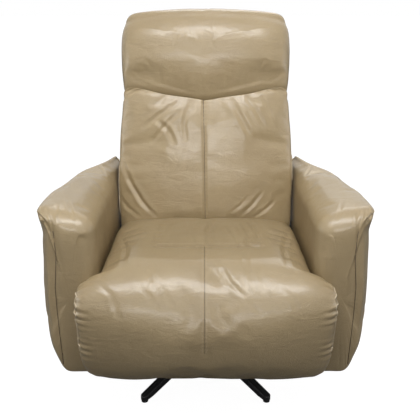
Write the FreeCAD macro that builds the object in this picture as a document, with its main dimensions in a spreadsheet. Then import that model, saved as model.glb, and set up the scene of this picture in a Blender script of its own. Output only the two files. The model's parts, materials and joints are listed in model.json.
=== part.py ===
import FreeCAD, Part

import math
import os

import Sketcher
from FreeCAD import Placement, Rotation, Vector

# A leather swivel recliner on a five-armed star base. Millimetres, +Z up, floor at Z 0.
# The drawing's origin is on the floor below the swivel axis, and the sitter faces -Y.
# The export moves the chair back, so that the origin is below the middle of its depth.
# "left" is the -X side and "right" the +X side.

# Driving dimensions

SIZES = {
    # Star base
    "arm_count": 5,
    "arm_reach": 318,
    "arm_root_width": 30,
    "arm_tip_width": 23,
    "arm_root_bottom": 44,
    "arm_root_top": 68,
    "arm_tip_top": 21,
    "arm_edge_radius": 3,
    "glide_height": 7,
    "glide_radius": 10,
    "hub_apothem": 42,
    "hub_bottom": 38,
    "hub_top": 74,
    "hub_corner_radius": 9,
    "hub_collar_radius": 33,
    "hub_collar_top": 84,
    # Swivel
    "column_radius": 25,
    "column_wall": 4,
    "column_top": 118,
    "bush_length": 32,
    "bush_flange": 3,
    "spindle_radius": 16,
    "running_gap": 0.05,
    "thrust_washer_radius": 36,
    "thrust_washer_thickness": 4,
    "clip_width": 5,
    "clip_thickness": 1.6,
    "swivel_plate_side": 240,
    "swivel_plate_thickness": 6,
    "swivel_plate_corner": 22,
    # Chassis tubes on the swivel plate
    "tube_side": 25,
    "tube_wall": 2,
    "tube_offset": 85,
    "tube_front": -262,
    "tube_rear": 250,
    "chassis_bolt_radius": 4,
    "chassis_bolt_spread": 170,
    # Wooden seat box
    "cover_thickness": 1.5,
    "rail_thickness": 21,
    "side_rail_height": 98,
    "side_rail_outer": 283,
    "seat_box_front": -262,
    "seat_box_rear": 272,
    "end_rail_thickness": 22,
    "end_rail_height": 142,
    "webbing_thickness": 2,
    "webbing_width": 58,
    "webbing_count": 5,
    "webbing_pitch": 104,
    "depth_shift": 31,
    # Hinge axes of the back, the footrest and the headrest
    "back_pivot_y": 168,
    "back_pivot_height": 400,
    "back_lean": 10,
    "recline_angle": 42,
    "footrest_pivot_y": -325,
    "footrest_pivot_height": 380,
    "footrest_angle": 85,
    "head_pivot_rise": 487,
    # Hinge plates and linkage, measured out from the middle of the chair
    "soft_gap": 0.3,
    "hinge_plate_inner": 272,
    "hinge_plate_thickness": 3.7,
    "link_inner": 277.3,
    "link_thickness": 4,
    "bracket_thickness": 4,
    "back_pin_radius": 8,
    "footrest_pin_radius": 7,
    "crank_pin_radius": 4,
    "back_crank": 60,
    "link_bar_width": 16,
    "link_eye_radius": 12,
    "link_slot_play": 2.9,
    "disc_radius": 18,
    "footrest_spacer_radius": 15,
    # Arms
    "arm_inner": 288.5,
    "arm_top": 619,
    "arm_bottom": 131,
    "arm_front": -306,
    "arm_rear": 285,
    "arm_front_outer": 432,
    "arm_rear_outer": 362,
    "arm_front_bulge": 438.5,
    "arm_rear_bulge": 376,
    "arm_front_foot": 392,
    "arm_rear_foot": 348,
    "arm_front_round": 26,
    "arm_rear_round": 16,
    "panel_inner": 294.3,
    "panel_thickness": 18,
    "panel_top": 556,
    "panel_bottom": 141,
    "panel_front": -272,
    "panel_rear": 262,
    "batten_height": 22,
    # Seat cushion
    "seat_half_width": 284.5,
    "seat_low_half_width": 276,
    "seat_step_height": 376,
    "seat_crown_over_roll": 6,
    "seat_crown_rise": 21,
    "seat_front": -316,
    "seat_back": 140,
    "crease_gap": 1.2,
    "yoke_seam_y": -20,
    "yoke_half_width": 92,
    "yoke_end_half_width": 74,
    "yoke_end_y": 60,
    "seat_seam_front": -280,
    "seam_width": 3.2,
    "seam_depth": 3,
    "ear_radius": 49,
    "ear_half_width": 331,
    # Footrest
    "roll_radius": 75,
    "roll_half_width": 271.7,
    "board_thickness": 14,
    "board_half_width": 271.7,
    "board_bottom": 172,
    "board_clearance": 5,
    "pad_rear": -298,
    "pad_half_width": 339,
    "pad_front": -402,
    "pad_bottom": 153,
    "flare_rear": -313.5,
    "flare_top": 384,
    # Back
    "knuckle_radius": 80,
    "shell_foot_radius": 88,
    "back_half_width": 281,
    "back_waist_half_width": 263,
    "back_front": 84,
    "back_rear": 90,
    "back_top": 702,
    "back_split": 4,
    "shell_pocket_half_width": 256,
    "shell_pocket_depth": 46,
    "frame_tube_radius": 10,
    "frame_half_width": 236,
    "frame_bottom": -36,
    "frame_top": 362,
    "frame_bend_radius": 45,
    "back_webbing_count": 5,
    "back_webbing_pitch": 74,
    "back_webbing_width": 44,
    "back_bolt_radius": 3,
    "back_bolt_low": 60,
    "back_bolt_high": 120,
    # Headrest
    "v_radius_middle": 102.5,
    "v_radius_quarter": 88.5,
    "v_radius_end": 64,
    "v_rim_half_width": 218,
    "head_gap": 0.7,
    "head_plate_half_width": 190,
    "head_plate_bottom": 524,
    "head_plate_top": 655,
    "head_plate_thickness": 8,
    "ratchet_offset": 118,
    "ratchet_thickness": 3,
    "ratchet_pin_radius": 5,
    # Rear closing panel
    "rear_panel_thickness": 17,
    "rear_panel_top": 365,
    "rear_panel_half_width": 286,
}

doc = FreeCAD.newDocument("SwivelRecliner")
sheet = doc.addObject("Spreadsheet::Sheet", "Sizes")
for row, (alias, number) in enumerate(SIZES.items(), 1):
    sheet.set(f"A{row}", alias)
    sheet.set(f"B{row}", str(number))
    sheet.setAlias(f"B{row}", alias)
doc.recompute()

FULL_TURN = 360
SIDES = (("left", -1), ("right", 1))


class Size:
    """A size of the sheet, or one worked out from several, with its value and its expression."""

    def __init__(self, value, text):
        self.value = float(value)
        self.text = text

    @staticmethod
    def of(item):
        return item if isinstance(item, Size) else Size(item, f"({float(item)!r})")

    def __add__(self, other):
        other = Size.of(other)
        return Size(self.value + other.value, f"({self.text} + {other.text})")

    def __sub__(self, other):
        other = Size.of(other)
        return Size(self.value - other.value, f"({self.text} - {other.text})")

    def __mul__(self, other):
        other = Size.of(other)
        return Size(self.value * other.value, f"({self.text} * {other.text})")

    def __truediv__(self, other):
        other = Size.of(other)
        return Size(self.value / other.value, f"({self.text} / {other.text})")

    def __neg__(self):
        return self * -1

    def __float__(self):
        return self.value

    __radd__ = __add__
    __rmul__ = __mul__

    def __rsub__(self, other):
        return Size.of(other) - self

    def __rtruediv__(self, other):
        return Size.of(other) / self


def cosine(angle):
    angle = Size.of(angle)
    return Size(math.cos(math.radians(angle.value)), f"cos({angle.text} * 1 deg)")


def sine(angle):
    angle = Size.of(angle)
    return Size(math.sin(math.radians(angle.value)), f"sin({angle.text} * 1 deg)")


class Sheet:
    """Every size of the sheet under its own name."""

    def __getattr__(self, name):
        return Size(getattr(sheet, name), f"Sizes.{name}")


s = Sheet()

# Sizes that follow from the driving ones

washer_bottom = s.column_top + s.bush_flange
plate_bottom = washer_bottom + s.thrust_washer_thickness
plate_top = plate_bottom + s.swivel_plate_thickness
tube_top = plate_top + s.tube_side
rail_bottom = tube_top + s.cover_thickness
side_rail_top = rail_bottom + s.side_rail_height
end_rail_top = rail_bottom + s.end_rail_height
webbing_top = end_rail_top + s.webbing_thickness
rail_inner = s.side_rail_outer - s.rail_thickness
hinge_plate_outer = s.hinge_plate_inner + s.hinge_plate_thickness
bracket_outer = s.side_rail_outer + s.bracket_thickness
footrest_crank = s.back_crank * sine(s.recline_angle / 2) / sine(s.footrest_angle / 2)
back_crank_y = s.back_pivot_y + s.back_crank * sine(s.recline_angle / 2)
back_crank_height = s.back_pivot_height - s.back_crank * cosine(s.recline_angle / 2)
footrest_crank_y = s.footrest_pivot_y + footrest_crank * sine(s.footrest_angle / 2)
footrest_crank_height = s.footrest_pivot_height - footrest_crank * cosine(s.footrest_angle / 2)

board_top = s.footrest_pivot_height - s.roll_radius - s.board_clearance
seat_crown = s.footrest_pivot_height + s.roll_radius + s.seat_crown_over_roll

nodes = []

# Helpers for parametric features


def bind(thing, name, value):
    """Set a property from a size and keep it bound to the sheet."""
    thing.setExpression(name, Size.of(value).text)


def keep(thing, label):
    """Name a finished sub-part and list it for the export."""
    thing.Label = label
    nodes.append(thing)
    return thing


def place(thing, x=0, y=0, z=0, axis=None, angle=0):
    """Stand a sub-part in the chair, with its place and turn bound to the sheet."""
    turn = Rotation(axis, float(Size.of(angle))) if axis else Rotation()
    thing.Placement = Placement(Vector(float(Size.of(x)), float(Size.of(y)), float(Size.of(z))), turn)
    for name, value in (("x", x), ("y", y), ("z", z)):
        bind(thing, f"Placement.Base.{name}", value)
    if axis:
        bind(thing, "Placement.Rotation.Angle", angle)


def new_body(label):
    return doc.addObject("PartDesign::Body", label)


def new_sketch(body, role, lift=0):
    """Attach an empty sketch to one of the body's own planes, lifted along its normal."""
    plane = next(f for f in body.Origin.OriginFeatures if f.Role == role)
    sketch = body.newObject("Sketcher::SketchObject", "outline")
    sketch.AttachmentSupport = [(plane, "")]
    sketch.MapMode = "FlatFace"
    bind(sketch, "AttachmentOffset.Base.z", lift)
    return sketch


def fix_point(sketch, element, end, x, y):
    for kind, value in (("DistanceX", x), ("DistanceY", y)):
        value = Size.of(value)
        index = sketch.addConstraint(Sketcher.Constraint(kind, -1, 1, element, end, value.value))
        sketch.setExpression(f"Constraints[{index}]", value.text)


def fix_radius(sketch, element, radius):
    radius = Size.of(radius)
    index = sketch.addConstraint(Sketcher.Constraint("Radius", element, radius.value))
    sketch.setExpression(f"Constraints[{index}]", radius.text)


def flat(x, y):
    return Vector(float(Size.of(x)), float(Size.of(y)), 0)


def draw_polygon(sketch, corners):
    count = len(corners)
    first = sketch.GeometryCount
    for index, corner in enumerate(corners):
        following = corners[(index + 1) % count]
        sketch.addGeometry(Part.LineSegment(flat(*corner), flat(*following)))
    for index, corner in enumerate(corners):
        following = first + (index + 1) % count
        sketch.addConstraint(Sketcher.Constraint("Coincident", first + index, 2, following, 1))
        fix_point(sketch, first + index, 1, *corner)


def draw_circle(sketch, x, y, radius):
    circle = sketch.addGeometry(Part.Circle(flat(x, y), Vector(0, 0, 1), float(Size.of(radius))))
    fix_radius(sketch, circle, radius)
    fix_point(sketch, circle, 3, x, y)


def draw_rectangle(sketch, x0, y0, x1, y1):
    draw_polygon(sketch, ((x0, y0), (x1, y0), (x1, y1), (x0, y1)))


def draw_link(sketch, start, start_radius, end, end_radius):
    """Two round ends joined by their outer tangents, as on a lever or a hinge strap."""
    a, b = flat(*start), flat(*end)
    ra, rb = float(Size.of(start_radius)), float(Size.of(end_radius))
    run = b - a
    along = math.atan2(run.y, run.x)
    off = math.acos((ra - rb) / run.Length)

    def on(centre, radius, angle):
        return centre + Vector(radius * math.cos(angle), radius * math.sin(angle), 0)

    up = Vector(0, 0, 1)
    tail = Part.ArcOfCircle(Part.Circle(a, up, ra), along + off, along - off + 2 * math.pi)
    low = Part.LineSegment(on(a, ra, along - off), on(b, rb, along - off))
    nose = Part.ArcOfCircle(Part.Circle(b, up, rb), along - off, along + off)
    high = Part.LineSegment(on(b, rb, along + off), on(a, ra, along + off))
    g = sketch.addGeometry([tail, low, nose, high])
    for here, there in zip(g, g[1:] + g[:1]):
        sketch.addConstraint(Sketcher.Constraint("Tangent", here, 2, there, 1))
    for arc, centre, radius in ((g[0], start, start_radius), (g[2], end, end_radius)):
        fix_radius(sketch, arc, radius)
        fix_point(sketch, arc, 3, *centre)


def draw_tongue(sketch, root, half_width, centre, radius):
    """A straight root whose two sides run tangent into a round end, along the sketch's X."""
    x0, w = float(Size.of(root)), float(Size.of(half_width))
    xc, r = float(Size.of(centre)), float(Size.of(radius))
    toward = math.atan2(w, x0 - xc) - math.acos(r / math.hypot(xc - x0, w))
    tip = Vector(xc + r * math.cos(toward), r * math.sin(toward), 0)
    mirrored = Vector(tip.x, -tip.y, 0)
    end = Part.ArcOfCircle(Part.Circle(Vector(xc, 0, 0), Vector(0, 0, 1), r), -toward, toward)
    g = sketch.addGeometry([
        Part.LineSegment(Vector(x0, -w, 0), mirrored), end,
        Part.LineSegment(tip, Vector(x0, w, 0)), Part.LineSegment(Vector(x0, w, 0), Vector(x0, -w, 0)),
    ])
    joins = (("Tangent", 0, 1), ("Tangent", 1, 2), ("Coincident", 2, 3), ("Coincident", 3, 0))
    for kind, here, there in joins:
        sketch.addConstraint(Sketcher.Constraint(kind, g[here], 2, g[there], 1))
    fix_radius(sketch, g[1], radius)
    fix_point(sketch, g[1], 3, centre, 0)
    fix_point(sketch, g[0], 1, root, -Size.of(half_width))
    fix_point(sketch, g[2], 2, root, half_width)


def pad(body, sketch, length):
    feature = body.newObject("PartDesign::Pad", "pad")
    feature.Profile = sketch
    bind(feature, "Length", length)
    return feature


def slot_through(body, sketch, length):
    """Cut a sketch out of the body, the same length to both sides of its plane."""
    feature = body.newObject("PartDesign::Pocket", "cut")
    feature.Profile = sketch
    feature.SideType = "Symmetric"
    bind(feature, "Length", length)
    return feature


def round_edges(body, base, radius, wanted):
    """Fillet the edges of a feature that the test picks out."""
    doc.recompute()
    names = [f"Edge{i}" for i, edge in enumerate(base.Shape.Edges, 1) if wanted(edge)]
    feature = body.newObject("PartDesign::Fillet", "round")
    feature.Base = (base, names)
    bind(feature, "Radius", radius)
    return feature


def runs_along(direction):
    """A test for straight edges that run along a direction."""

    def test(edge):
        if edge.Curve.TypeId != "Part::GeomLine":
            return False
        return abs(edge.Curve.Direction.dot(direction)) > 0.999

    return test


def turned(label, profile):
    """A piece turned about its own Z axis from a closed outline of radius and height."""
    body = new_body(label)
    sketch = new_sketch(body, "XZ_Plane")
    draw_polygon(sketch, profile)
    feature = body.newObject("PartDesign::Revolution", "turn")
    feature.Profile = sketch
    feature.ReferenceAxis = (sketch, ["V_Axis"])
    feature.Angle = FULL_TURN
    return keep(body, label)


def block(label, x0, x1, y0, y1, z0, z1):
    """A straight length of board or strip between its six faces."""
    body = new_body(label)
    sketch = new_sketch(body, "XY_Plane", z0)
    draw_rectangle(sketch, x0, y0, x1, y1)
    pad(body, sketch, Size.of(z1) - z0)
    return keep(body, label)


def side_range(side, inner, thickness):
    """The lower X of a plate that starts at inner on either side of the chair."""
    return Size.of(inner) if side > 0 else -(Size.of(inner) + thickness)


def cylinder(radius, length, x, y, z, axis=None, angle=90):
    """One round bar of a group, along Z, or turned about an axis."""
    item = doc.addObject("Part::Cylinder", "bar")
    bind(item, "Radius", radius)
    bind(item, "Height", length)
    place(item, x, y, z, axis, angle)
    return item


def group(label, items):
    """Like pieces that share one node as separate solids."""
    compound = doc.addObject("Part::Compound", label)
    compound.Links = items
    return keep(compound, label)


def cross_pins(radius, inner, outer, y, z):
    """A pair of pins along X, one on each side of the chair."""
    length = Size.of(outer) - inner
    along_x = Vector(0, 1, 0)
    return [cylinder(radius, length, side_range(side, inner, length), y, z, along_x) for _, side in SIDES]


# Star base: a pentagonal hub with five welded arms, each on a glide


def make_hub():
    body = new_body("base_hub")
    sketch = new_sketch(body, "XY_Plane", s.hub_bottom)
    half_step = 180 / s.arm_count
    corner_radius = s.hub_apothem / cosine(half_step)
    corners = []
    for index in range(int(sheet.arm_count)):
        angle = 90 + half_step * (2 * index + 1)
        corners.append((corner_radius * cosine(angle), corner_radius * sine(angle)))
    draw_polygon(sketch, corners)
    prism = pad(body, sketch, s.hub_top - s.hub_bottom)
    rounded = round_edges(body, prism, s.hub_corner_radius, runs_along(Vector(0, 0, 1)))
    doc.recompute()
    collar = new_sketch(body, "XY_Plane", s.hub_top)
    draw_circle(collar, 0, 0, s.hub_collar_radius)
    pad(body, collar, s.hub_collar_top - s.hub_top)
    bore = new_sketch(body, "XY_Plane")
    draw_circle(bore, 0, 0, s.column_radius + s.running_gap)
    slot_through(body, bore, s.hub_collar_top * 4)
    return keep(body, "base_hub")


def make_arm(index):
    body = new_body(f"base_arm_{index + 1}")
    tip_radius = s.arm_tip_width / 2
    tip_centre = s.arm_reach - tip_radius
    plan = new_sketch(body, "XY_Plane", s.glide_height)
    draw_tongue(plan, s.hub_apothem, s.arm_root_width / 2, tip_centre, tip_radius)
    pad(body, plan, s.arm_root_top - s.glide_height)
    above = new_sketch(body, "XZ_Plane")
    top = s.arm_root_top
    clear = top + s.arm_reach
    draw_polygon(above, (
        (s.hub_apothem, top), (s.arm_reach, s.arm_tip_top), (clear, s.arm_tip_top),
        (clear, clear), (s.hub_apothem, clear),
    ))
    slot_through(body, above, s.arm_root_width * 3)
    below = new_sketch(body, "XZ_Plane")
    shoulder = tip_centre - s.arm_tip_width
    draw_polygon(below, (
        (0, s.arm_root_bottom), (s.hub_apothem, s.arm_root_bottom), (shoulder, s.glide_height), (0, 0),
    ))
    cut = slot_through(body, below, s.arm_root_width * 3)

    def top_edge(edge):
        box = edge.BoundBox
        return box.ZMin > float(s.arm_tip_top) - 0.5 and box.XLength > 1

    round_edges(body, cut, s.arm_edge_radius, top_edge)
    place(body, axis=Vector(0, 0, 1), angle=90 + index * FULL_TURN / s.arm_count)
    return keep(body, body.Label)


def make_glides():
    reach = s.arm_reach - s.arm_tip_width / 2
    items = []
    for index in range(int(sheet.arm_count)):
        angle = 90 + index * FULL_TURN / s.arm_count
        items.append(cylinder(s.glide_radius, s.glide_height, reach * cosine(angle), reach * sine(angle), 0))
    return group("base_glides", items)


make_hub()
for arm_index in range(int(sheet.arm_count)):
    make_arm(arm_index)
make_glides()

# Column and its bushes, fixed to the base

column_inner = s.column_radius - s.column_wall
bush_outer = column_inner - s.running_gap
bush_inner = s.spindle_radius + s.running_gap
turned("base_column", (
    (column_inner, s.hub_bottom), (s.column_radius, s.hub_bottom),
    (s.column_radius, s.column_top), (column_inner, s.column_top),
))
turned("column_bush_upper", (
    (bush_inner, s.column_top - s.bush_length), (bush_outer, s.column_top - s.bush_length),
    (bush_outer, s.column_top), (s.column_radius, s.column_top),
    (s.column_radius, washer_bottom), (bush_inner, washer_bottom),
))
turned("column_bush_lower", (
    (bush_inner, s.hub_bottom - s.bush_flange), (s.column_radius, s.hub_bottom - s.bush_flange),
    (s.column_radius, s.hub_bottom), (bush_outer, s.hub_bottom),
    (bush_outer, s.hub_bottom + s.bush_length), (bush_inner, s.hub_bottom + s.bush_length),
))
turned("thrust_washer", (
    (bush_inner, washer_bottom), (s.thrust_washer_radius, washer_bottom),
    (s.thrust_washer_radius, plate_bottom), (bush_inner, plate_bottom),
))

# Spindle, clip and swivel plate, which turn with the seat

clip_top = s.hub_bottom - s.bush_flange - s.soft_gap
clip_bottom = clip_top - s.clip_thickness
clip_inner = s.spindle_radius - 2
turned("swivel_spindle", (
    (0, clip_bottom - s.clip_width), (s.spindle_radius, clip_bottom - s.clip_width),
    (s.spindle_radius, clip_bottom), (clip_inner, clip_bottom), (clip_inner, clip_top),
    (s.spindle_radius, clip_top), (s.spindle_radius, plate_top), (0, plate_top),
))
turned("spindle_clip", (
    (clip_inner + s.running_gap, clip_bottom), (clip_inner + s.clip_width, clip_bottom),
    (clip_inner + s.clip_width, clip_top), (clip_inner + s.running_gap, clip_top),
))


def make_swivel_plate():
    body = new_body("swivel_plate")
    half = s.swivel_plate_side / 2
    sketch = new_sketch(body, "XY_Plane", plate_bottom)
    draw_rectangle(sketch, -half, -half, half, half)
    draw_circle(sketch, 0, 0, s.spindle_radius + s.running_gap)
    for x in (-1, 1):
        for y in (-1, 1):
            hole = s.chassis_bolt_radius + s.running_gap
            draw_circle(sketch, s.tube_offset * x, s.chassis_bolt_spread / 2 * y, hole)
    plate = pad(body, sketch, s.swivel_plate_thickness)
    round_edges(body, plate, s.swivel_plate_corner, runs_along(Vector(0, 0, 1)))
    return keep(body, "swivel_plate")


make_swivel_plate()

for name, side in SIDES:
    tube = new_body(f"chassis_tube_{name}")
    section = new_sketch(tube, "XZ_Plane", -s.tube_rear)
    middle, half = s.tube_offset * side, s.tube_side / 2
    draw_rectangle(section, middle - half, plate_top, middle + half, tube_top)
    bore = half - s.tube_wall
    draw_rectangle(section, middle - bore, plate_top + s.tube_wall, middle + bore, tube_top - s.tube_wall)
    shell = pad(tube, section, s.tube_rear - s.tube_front)
    holes = new_sketch(tube, "XY_Plane", plate_top)
    for y in (-1, 1):
        draw_circle(holes, middle, s.chassis_bolt_spread / 2 * y, s.chassis_bolt_radius + s.running_gap)
    slot_through(tube, holes, s.tube_wall * 3)
    keep(tube, f"chassis_tube_{name}")


def make_chassis_bolts():
    """Four bolts from below, each with a head under the plate, into the chassis tubes."""
    items = []
    head = s.chassis_bolt_radius * 1.8
    for x in (-1, 1):
        for y in (-1, 1):
            bolt = new_body("chassis_bolt")
            sketch = new_sketch(bolt, "XZ_Plane")
            radius, low = s.chassis_bolt_radius, plate_bottom - s.chassis_bolt_radius
            top = plate_top + s.tube_wall * 3
            draw_polygon(sketch, (
                (0, low), (head, low), (head, plate_bottom), (radius, plate_bottom), (radius, top), (0, top),
            ))
            turn = bolt.newObject("PartDesign::Revolution", "turn")
            turn.Profile = sketch
            turn.ReferenceAxis = (sketch, ["V_Axis"])
            turn.Angle = FULL_TURN
            place(bolt, s.tube_offset * x, s.chassis_bolt_spread / 2 * y)
            items.append(bolt)
    return group("chassis_bolts", items)


make_chassis_bolts()

# Wooden seat box on the chassis tubes

block("dust_cover", -s.side_rail_outer, s.side_rail_outer, s.seat_box_front, s.seat_box_rear,
      tube_top, rail_bottom)
for name, side in SIDES:
    inner = side_range(side, rail_inner, s.rail_thickness)
    front_inner = s.seat_box_front + s.end_rail_thickness
    block(f"seat_side_rail_{name}", inner, inner + s.rail_thickness,
          front_inner, s.seat_box_rear, rail_bottom, side_rail_top)
block("seat_front_rail", -s.side_rail_outer, s.side_rail_outer, s.seat_box_front,
      s.seat_box_front + s.end_rail_thickness, rail_bottom, end_rail_top)
block("seat_rear_rail", -rail_inner, rail_inner, s.seat_box_rear - s.end_rail_thickness,
      s.seat_box_rear, rail_bottom, end_rail_top)


def make_seat_webbing():
    """Elastic straps from the front rail to the rear rail."""
    items = []
    count = int(sheet.webbing_count)
    for index in range(count):
        strap = new_body("seat_strap")
        sketch = new_sketch(strap, "XY_Plane", end_rail_top)
        middle = s.webbing_pitch * (index - (count - 1) / 2)
        half = s.webbing_width / 2
        draw_rectangle(sketch, middle - half, s.seat_box_front + 2, middle + half, s.seat_box_rear - 2)
        pad(strap, sketch, s.webbing_thickness)
        items.append(strap)
    return group("seat_webbing", items)


make_seat_webbing()
block("rear_panel", -s.rear_panel_half_width, s.rear_panel_half_width, s.seat_box_rear + s.soft_gap,
      s.seat_box_rear + s.soft_gap + s.rear_panel_thickness, rail_bottom, s.rear_panel_top)

# Arm frames: a plywood panel on a batten along the seat box

for name, side in SIDES:
    inner = side_range(side, s.panel_inner, s.panel_thickness)
    panel = new_body(f"arm_panel_{name}")
    outline = new_sketch(panel, "YZ_Plane", inner)
    slope = s.batten_height
    draw_polygon(outline, (
        (s.panel_front, s.panel_bottom), (s.panel_rear, s.panel_bottom),
        (s.panel_rear, s.panel_top - slope), (s.panel_rear - slope, s.panel_top),
        (s.panel_front + slope, s.panel_top), (s.panel_front, s.panel_top - slope),
    ))
    pad(panel, outline, s.panel_thickness)
    keep(panel, f"arm_panel_{name}")
    width = s.panel_inner - s.side_rail_outer
    low = side_range(side, s.side_rail_outer, width)
    block(f"arm_batten_{name}", low, low + width, s.seat_box_front, s.panel_rear,
          rail_bottom, rail_bottom + s.batten_height)

# Brackets on the seat box that carry the back and the footrest


def make_plate(label, side, inner, thickness, outlines, holes, own_node=True):
    """A flat steel plate square to X, drawn in Y and Z from overlapping outlines and round holes."""
    body = new_body(label)
    low = side_range(side, inner, thickness)
    for index, outline in enumerate(outlines):
        sketch = new_sketch(body, "YZ_Plane", low)
        if len(outline) == 4 and isinstance(outline[0], tuple) and not isinstance(outline[1], tuple):
            draw_link(sketch, *outline)
        else:
            draw_polygon(sketch, outline)
        pad(body, sketch, thickness)
    cuts = new_sketch(body, "YZ_Plane", low)
    for y, z, radius in holes:
        draw_circle(cuts, y, z, radius)
    slot_through(body, cuts, thickness * 4)
    return keep(body, label) if own_node else body


back_pivot = (s.back_pivot_y, s.back_pivot_height)
footrest_pivot = (s.footrest_pivot_y, s.footrest_pivot_height)
foot_bottom = rail_bottom + s.batten_height + 2
for name, side in SIDES:
    foot = side_rail_top - s.disc_radius
    make_plate(f"recline_bracket_{name}", side, s.side_rail_outer, s.bracket_thickness, (
        ((s.back_pivot_y - 52, foot_bottom), (s.back_pivot_y + 52, foot_bottom),
         (s.back_pivot_y + 52, side_rail_top), (s.back_pivot_y + s.disc_radius, s.back_pivot_height),
         (s.back_pivot_y - s.disc_radius, s.back_pivot_height), (s.back_pivot_y - 52, side_rail_top)),
        (back_pivot, s.disc_radius, (s.back_pivot_y, foot), s.disc_radius * 1.5),
    ), (
        (s.back_pivot_y, s.back_pivot_height, s.back_pin_radius + s.running_gap),
    ))
    rear_foot = (s.seat_box_front + 100, side_rail_top - s.disc_radius * 1.5)
    make_plate(f"footrest_bracket_{name}", side, s.side_rail_outer, s.bracket_thickness, (
        (footrest_pivot, s.footrest_spacer_radius, rear_foot, s.disc_radius * 1.5),
    ), (
        (s.footrest_pivot_y, s.footrest_pivot_height, s.footrest_pin_radius + s.running_gap),
    ))
pin_inner = s.hinge_plate_inner - 0.1
group("pivot_pins", cross_pins(s.back_pin_radius, pin_inner, bracket_outer, *back_pivot)
      + cross_pins(s.footrest_pin_radius, pin_inner, bracket_outer, *footrest_pivot))


def make_discs(pin_radius, radius, y, z):
    """Friction discs on the pins, between the moving plates and the brackets."""
    items = []
    inner = hinge_plate_outer + s.running_gap * 2
    width = s.side_rail_outer - inner
    for _, side in SIDES:
        disc = new_body("disc")
        sketch = new_sketch(disc, "YZ_Plane", side_range(side, inner, width))
        draw_circle(sketch, y, z, radius)
        draw_circle(sketch, y, z, pin_radius + s.running_gap)
        pad(disc, sketch, width)
        items.append(disc)
    return items


group("pivot_discs", make_discs(s.back_pin_radius, s.disc_radius, *back_pivot)
      + make_discs(s.footrest_pin_radius, s.footrest_spacer_radius, *footrest_pivot))

# Moving hinge plates, crank pins and the link that lifts the footrest as the back reclines

rear = (back_crank_y, back_crank_height)
front = (footrest_crank_y, footrest_crank_height)
for name, side in SIDES:
    lower_tip = (s.pad_rear + s.board_thickness / 2, (s.board_bottom + board_top) / 2)
    make_plate(f"footrest_plate_{name}", side, s.hinge_plate_inner, s.hinge_plate_thickness, (
        (footrest_pivot, s.footrest_spacer_radius + 2, lower_tip, s.board_thickness / 2),
        (footrest_pivot, s.footrest_spacer_radius, front, s.link_eye_radius),
    ), (
        (s.footrest_pivot_y, s.footrest_pivot_height, s.footrest_pin_radius + s.running_gap),
    ))
    slot = s.link_slot_play + s.crank_pin_radius
    slot_foot = (footrest_crank_y, footrest_crank_height - s.link_slot_play)
    link = make_plate(f"drive_link_{name}", side, s.link_inner, s.link_thickness, (
        (rear, s.link_bar_width / 2, front, s.link_bar_width / 2),
        (rear, s.link_eye_radius, (back_crank_y - 20, back_crank_height), s.link_bar_width / 2),
        (front, s.link_eye_radius, slot_foot, s.link_eye_radius),
    ), (
        (back_crank_y, back_crank_height, s.crank_pin_radius + s.running_gap),
    ))
    window = new_sketch(link, "YZ_Plane", side_range(side, s.link_inner, s.link_thickness))
    draw_rectangle(window, footrest_crank_y - s.crank_pin_radius - 1, footrest_crank_height - slot - 1.5,
                   footrest_crank_y + s.crank_pin_radius + 1, footrest_crank_height + slot)
    slot_through(link, window, s.link_thickness * 4)
    link.Tip = link.Group[-1]
pin_reach = s.link_inner + s.link_thickness + s.soft_gap
group("back_crank_pins", cross_pins(s.crank_pin_radius, hinge_plate_outer, pin_reach, *rear))
group("footrest_crank_pins", cross_pins(s.crank_pin_radius, hinge_plate_outer, pin_reach, *front))
block("footrest_board", -s.board_half_width, s.board_half_width, s.pad_rear + s.soft_gap,
      s.pad_rear + s.soft_gap + s.board_thickness, s.board_bottom, board_top)

# Soft forms: lofts through lines and arcs, read from the sheet


def line(a, b):
    return Part.LineSegment(Vector(*a), Vector(*b)).toShape()


def arc(a, b, c):
    return Part.Arc(Vector(*a), Vector(*b), Vector(*c)).toShape()


def soft(label, shape):
    feature = doc.addObject("Part::Feature", label)
    feature.Shape = shape
    return keep(feature, label)


def slab(x0, x1, y0, y1, z0, z1):
    corner = Vector(x0, y0, z0)
    return Part.makeBox(x1 - x0, y1 - y0, z1 - z0, corner)


def rod(radius, half_width, y, z):
    """A round bar along X, centred on the chair's middle."""
    return Part.makeCylinder(radius, 2 * half_width, Vector(-half_width, y, z), Vector(1, 0, 0))


def groove(points, outward, width, depth):
    """A sewn channel: a thin wedge swept through points that lie on the surface."""
    wires = []
    for index, point in enumerate(points):
        before = points[max(index - 1, 0)]
        after = points[min(index + 1, len(points) - 1)]
        across = (after - before).cross(outward).normalize() * (width / 2)
        tip = point - outward * depth
        top = outward * depth
        wires.append(Part.makePolygon([tip, point + across + top, point - across + top, tip]))
    return Part.makeLoft(wires, True, True)


gap = sheet.soft_gap
LOFT_DEGREE = 3
lean = Placement(Vector(0, sheet.back_pivot_y, sheet.back_pivot_height),
                 Rotation(Vector(1, 0, 0), -sheet.back_lean))

# Arm upholstery over each panel


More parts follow.
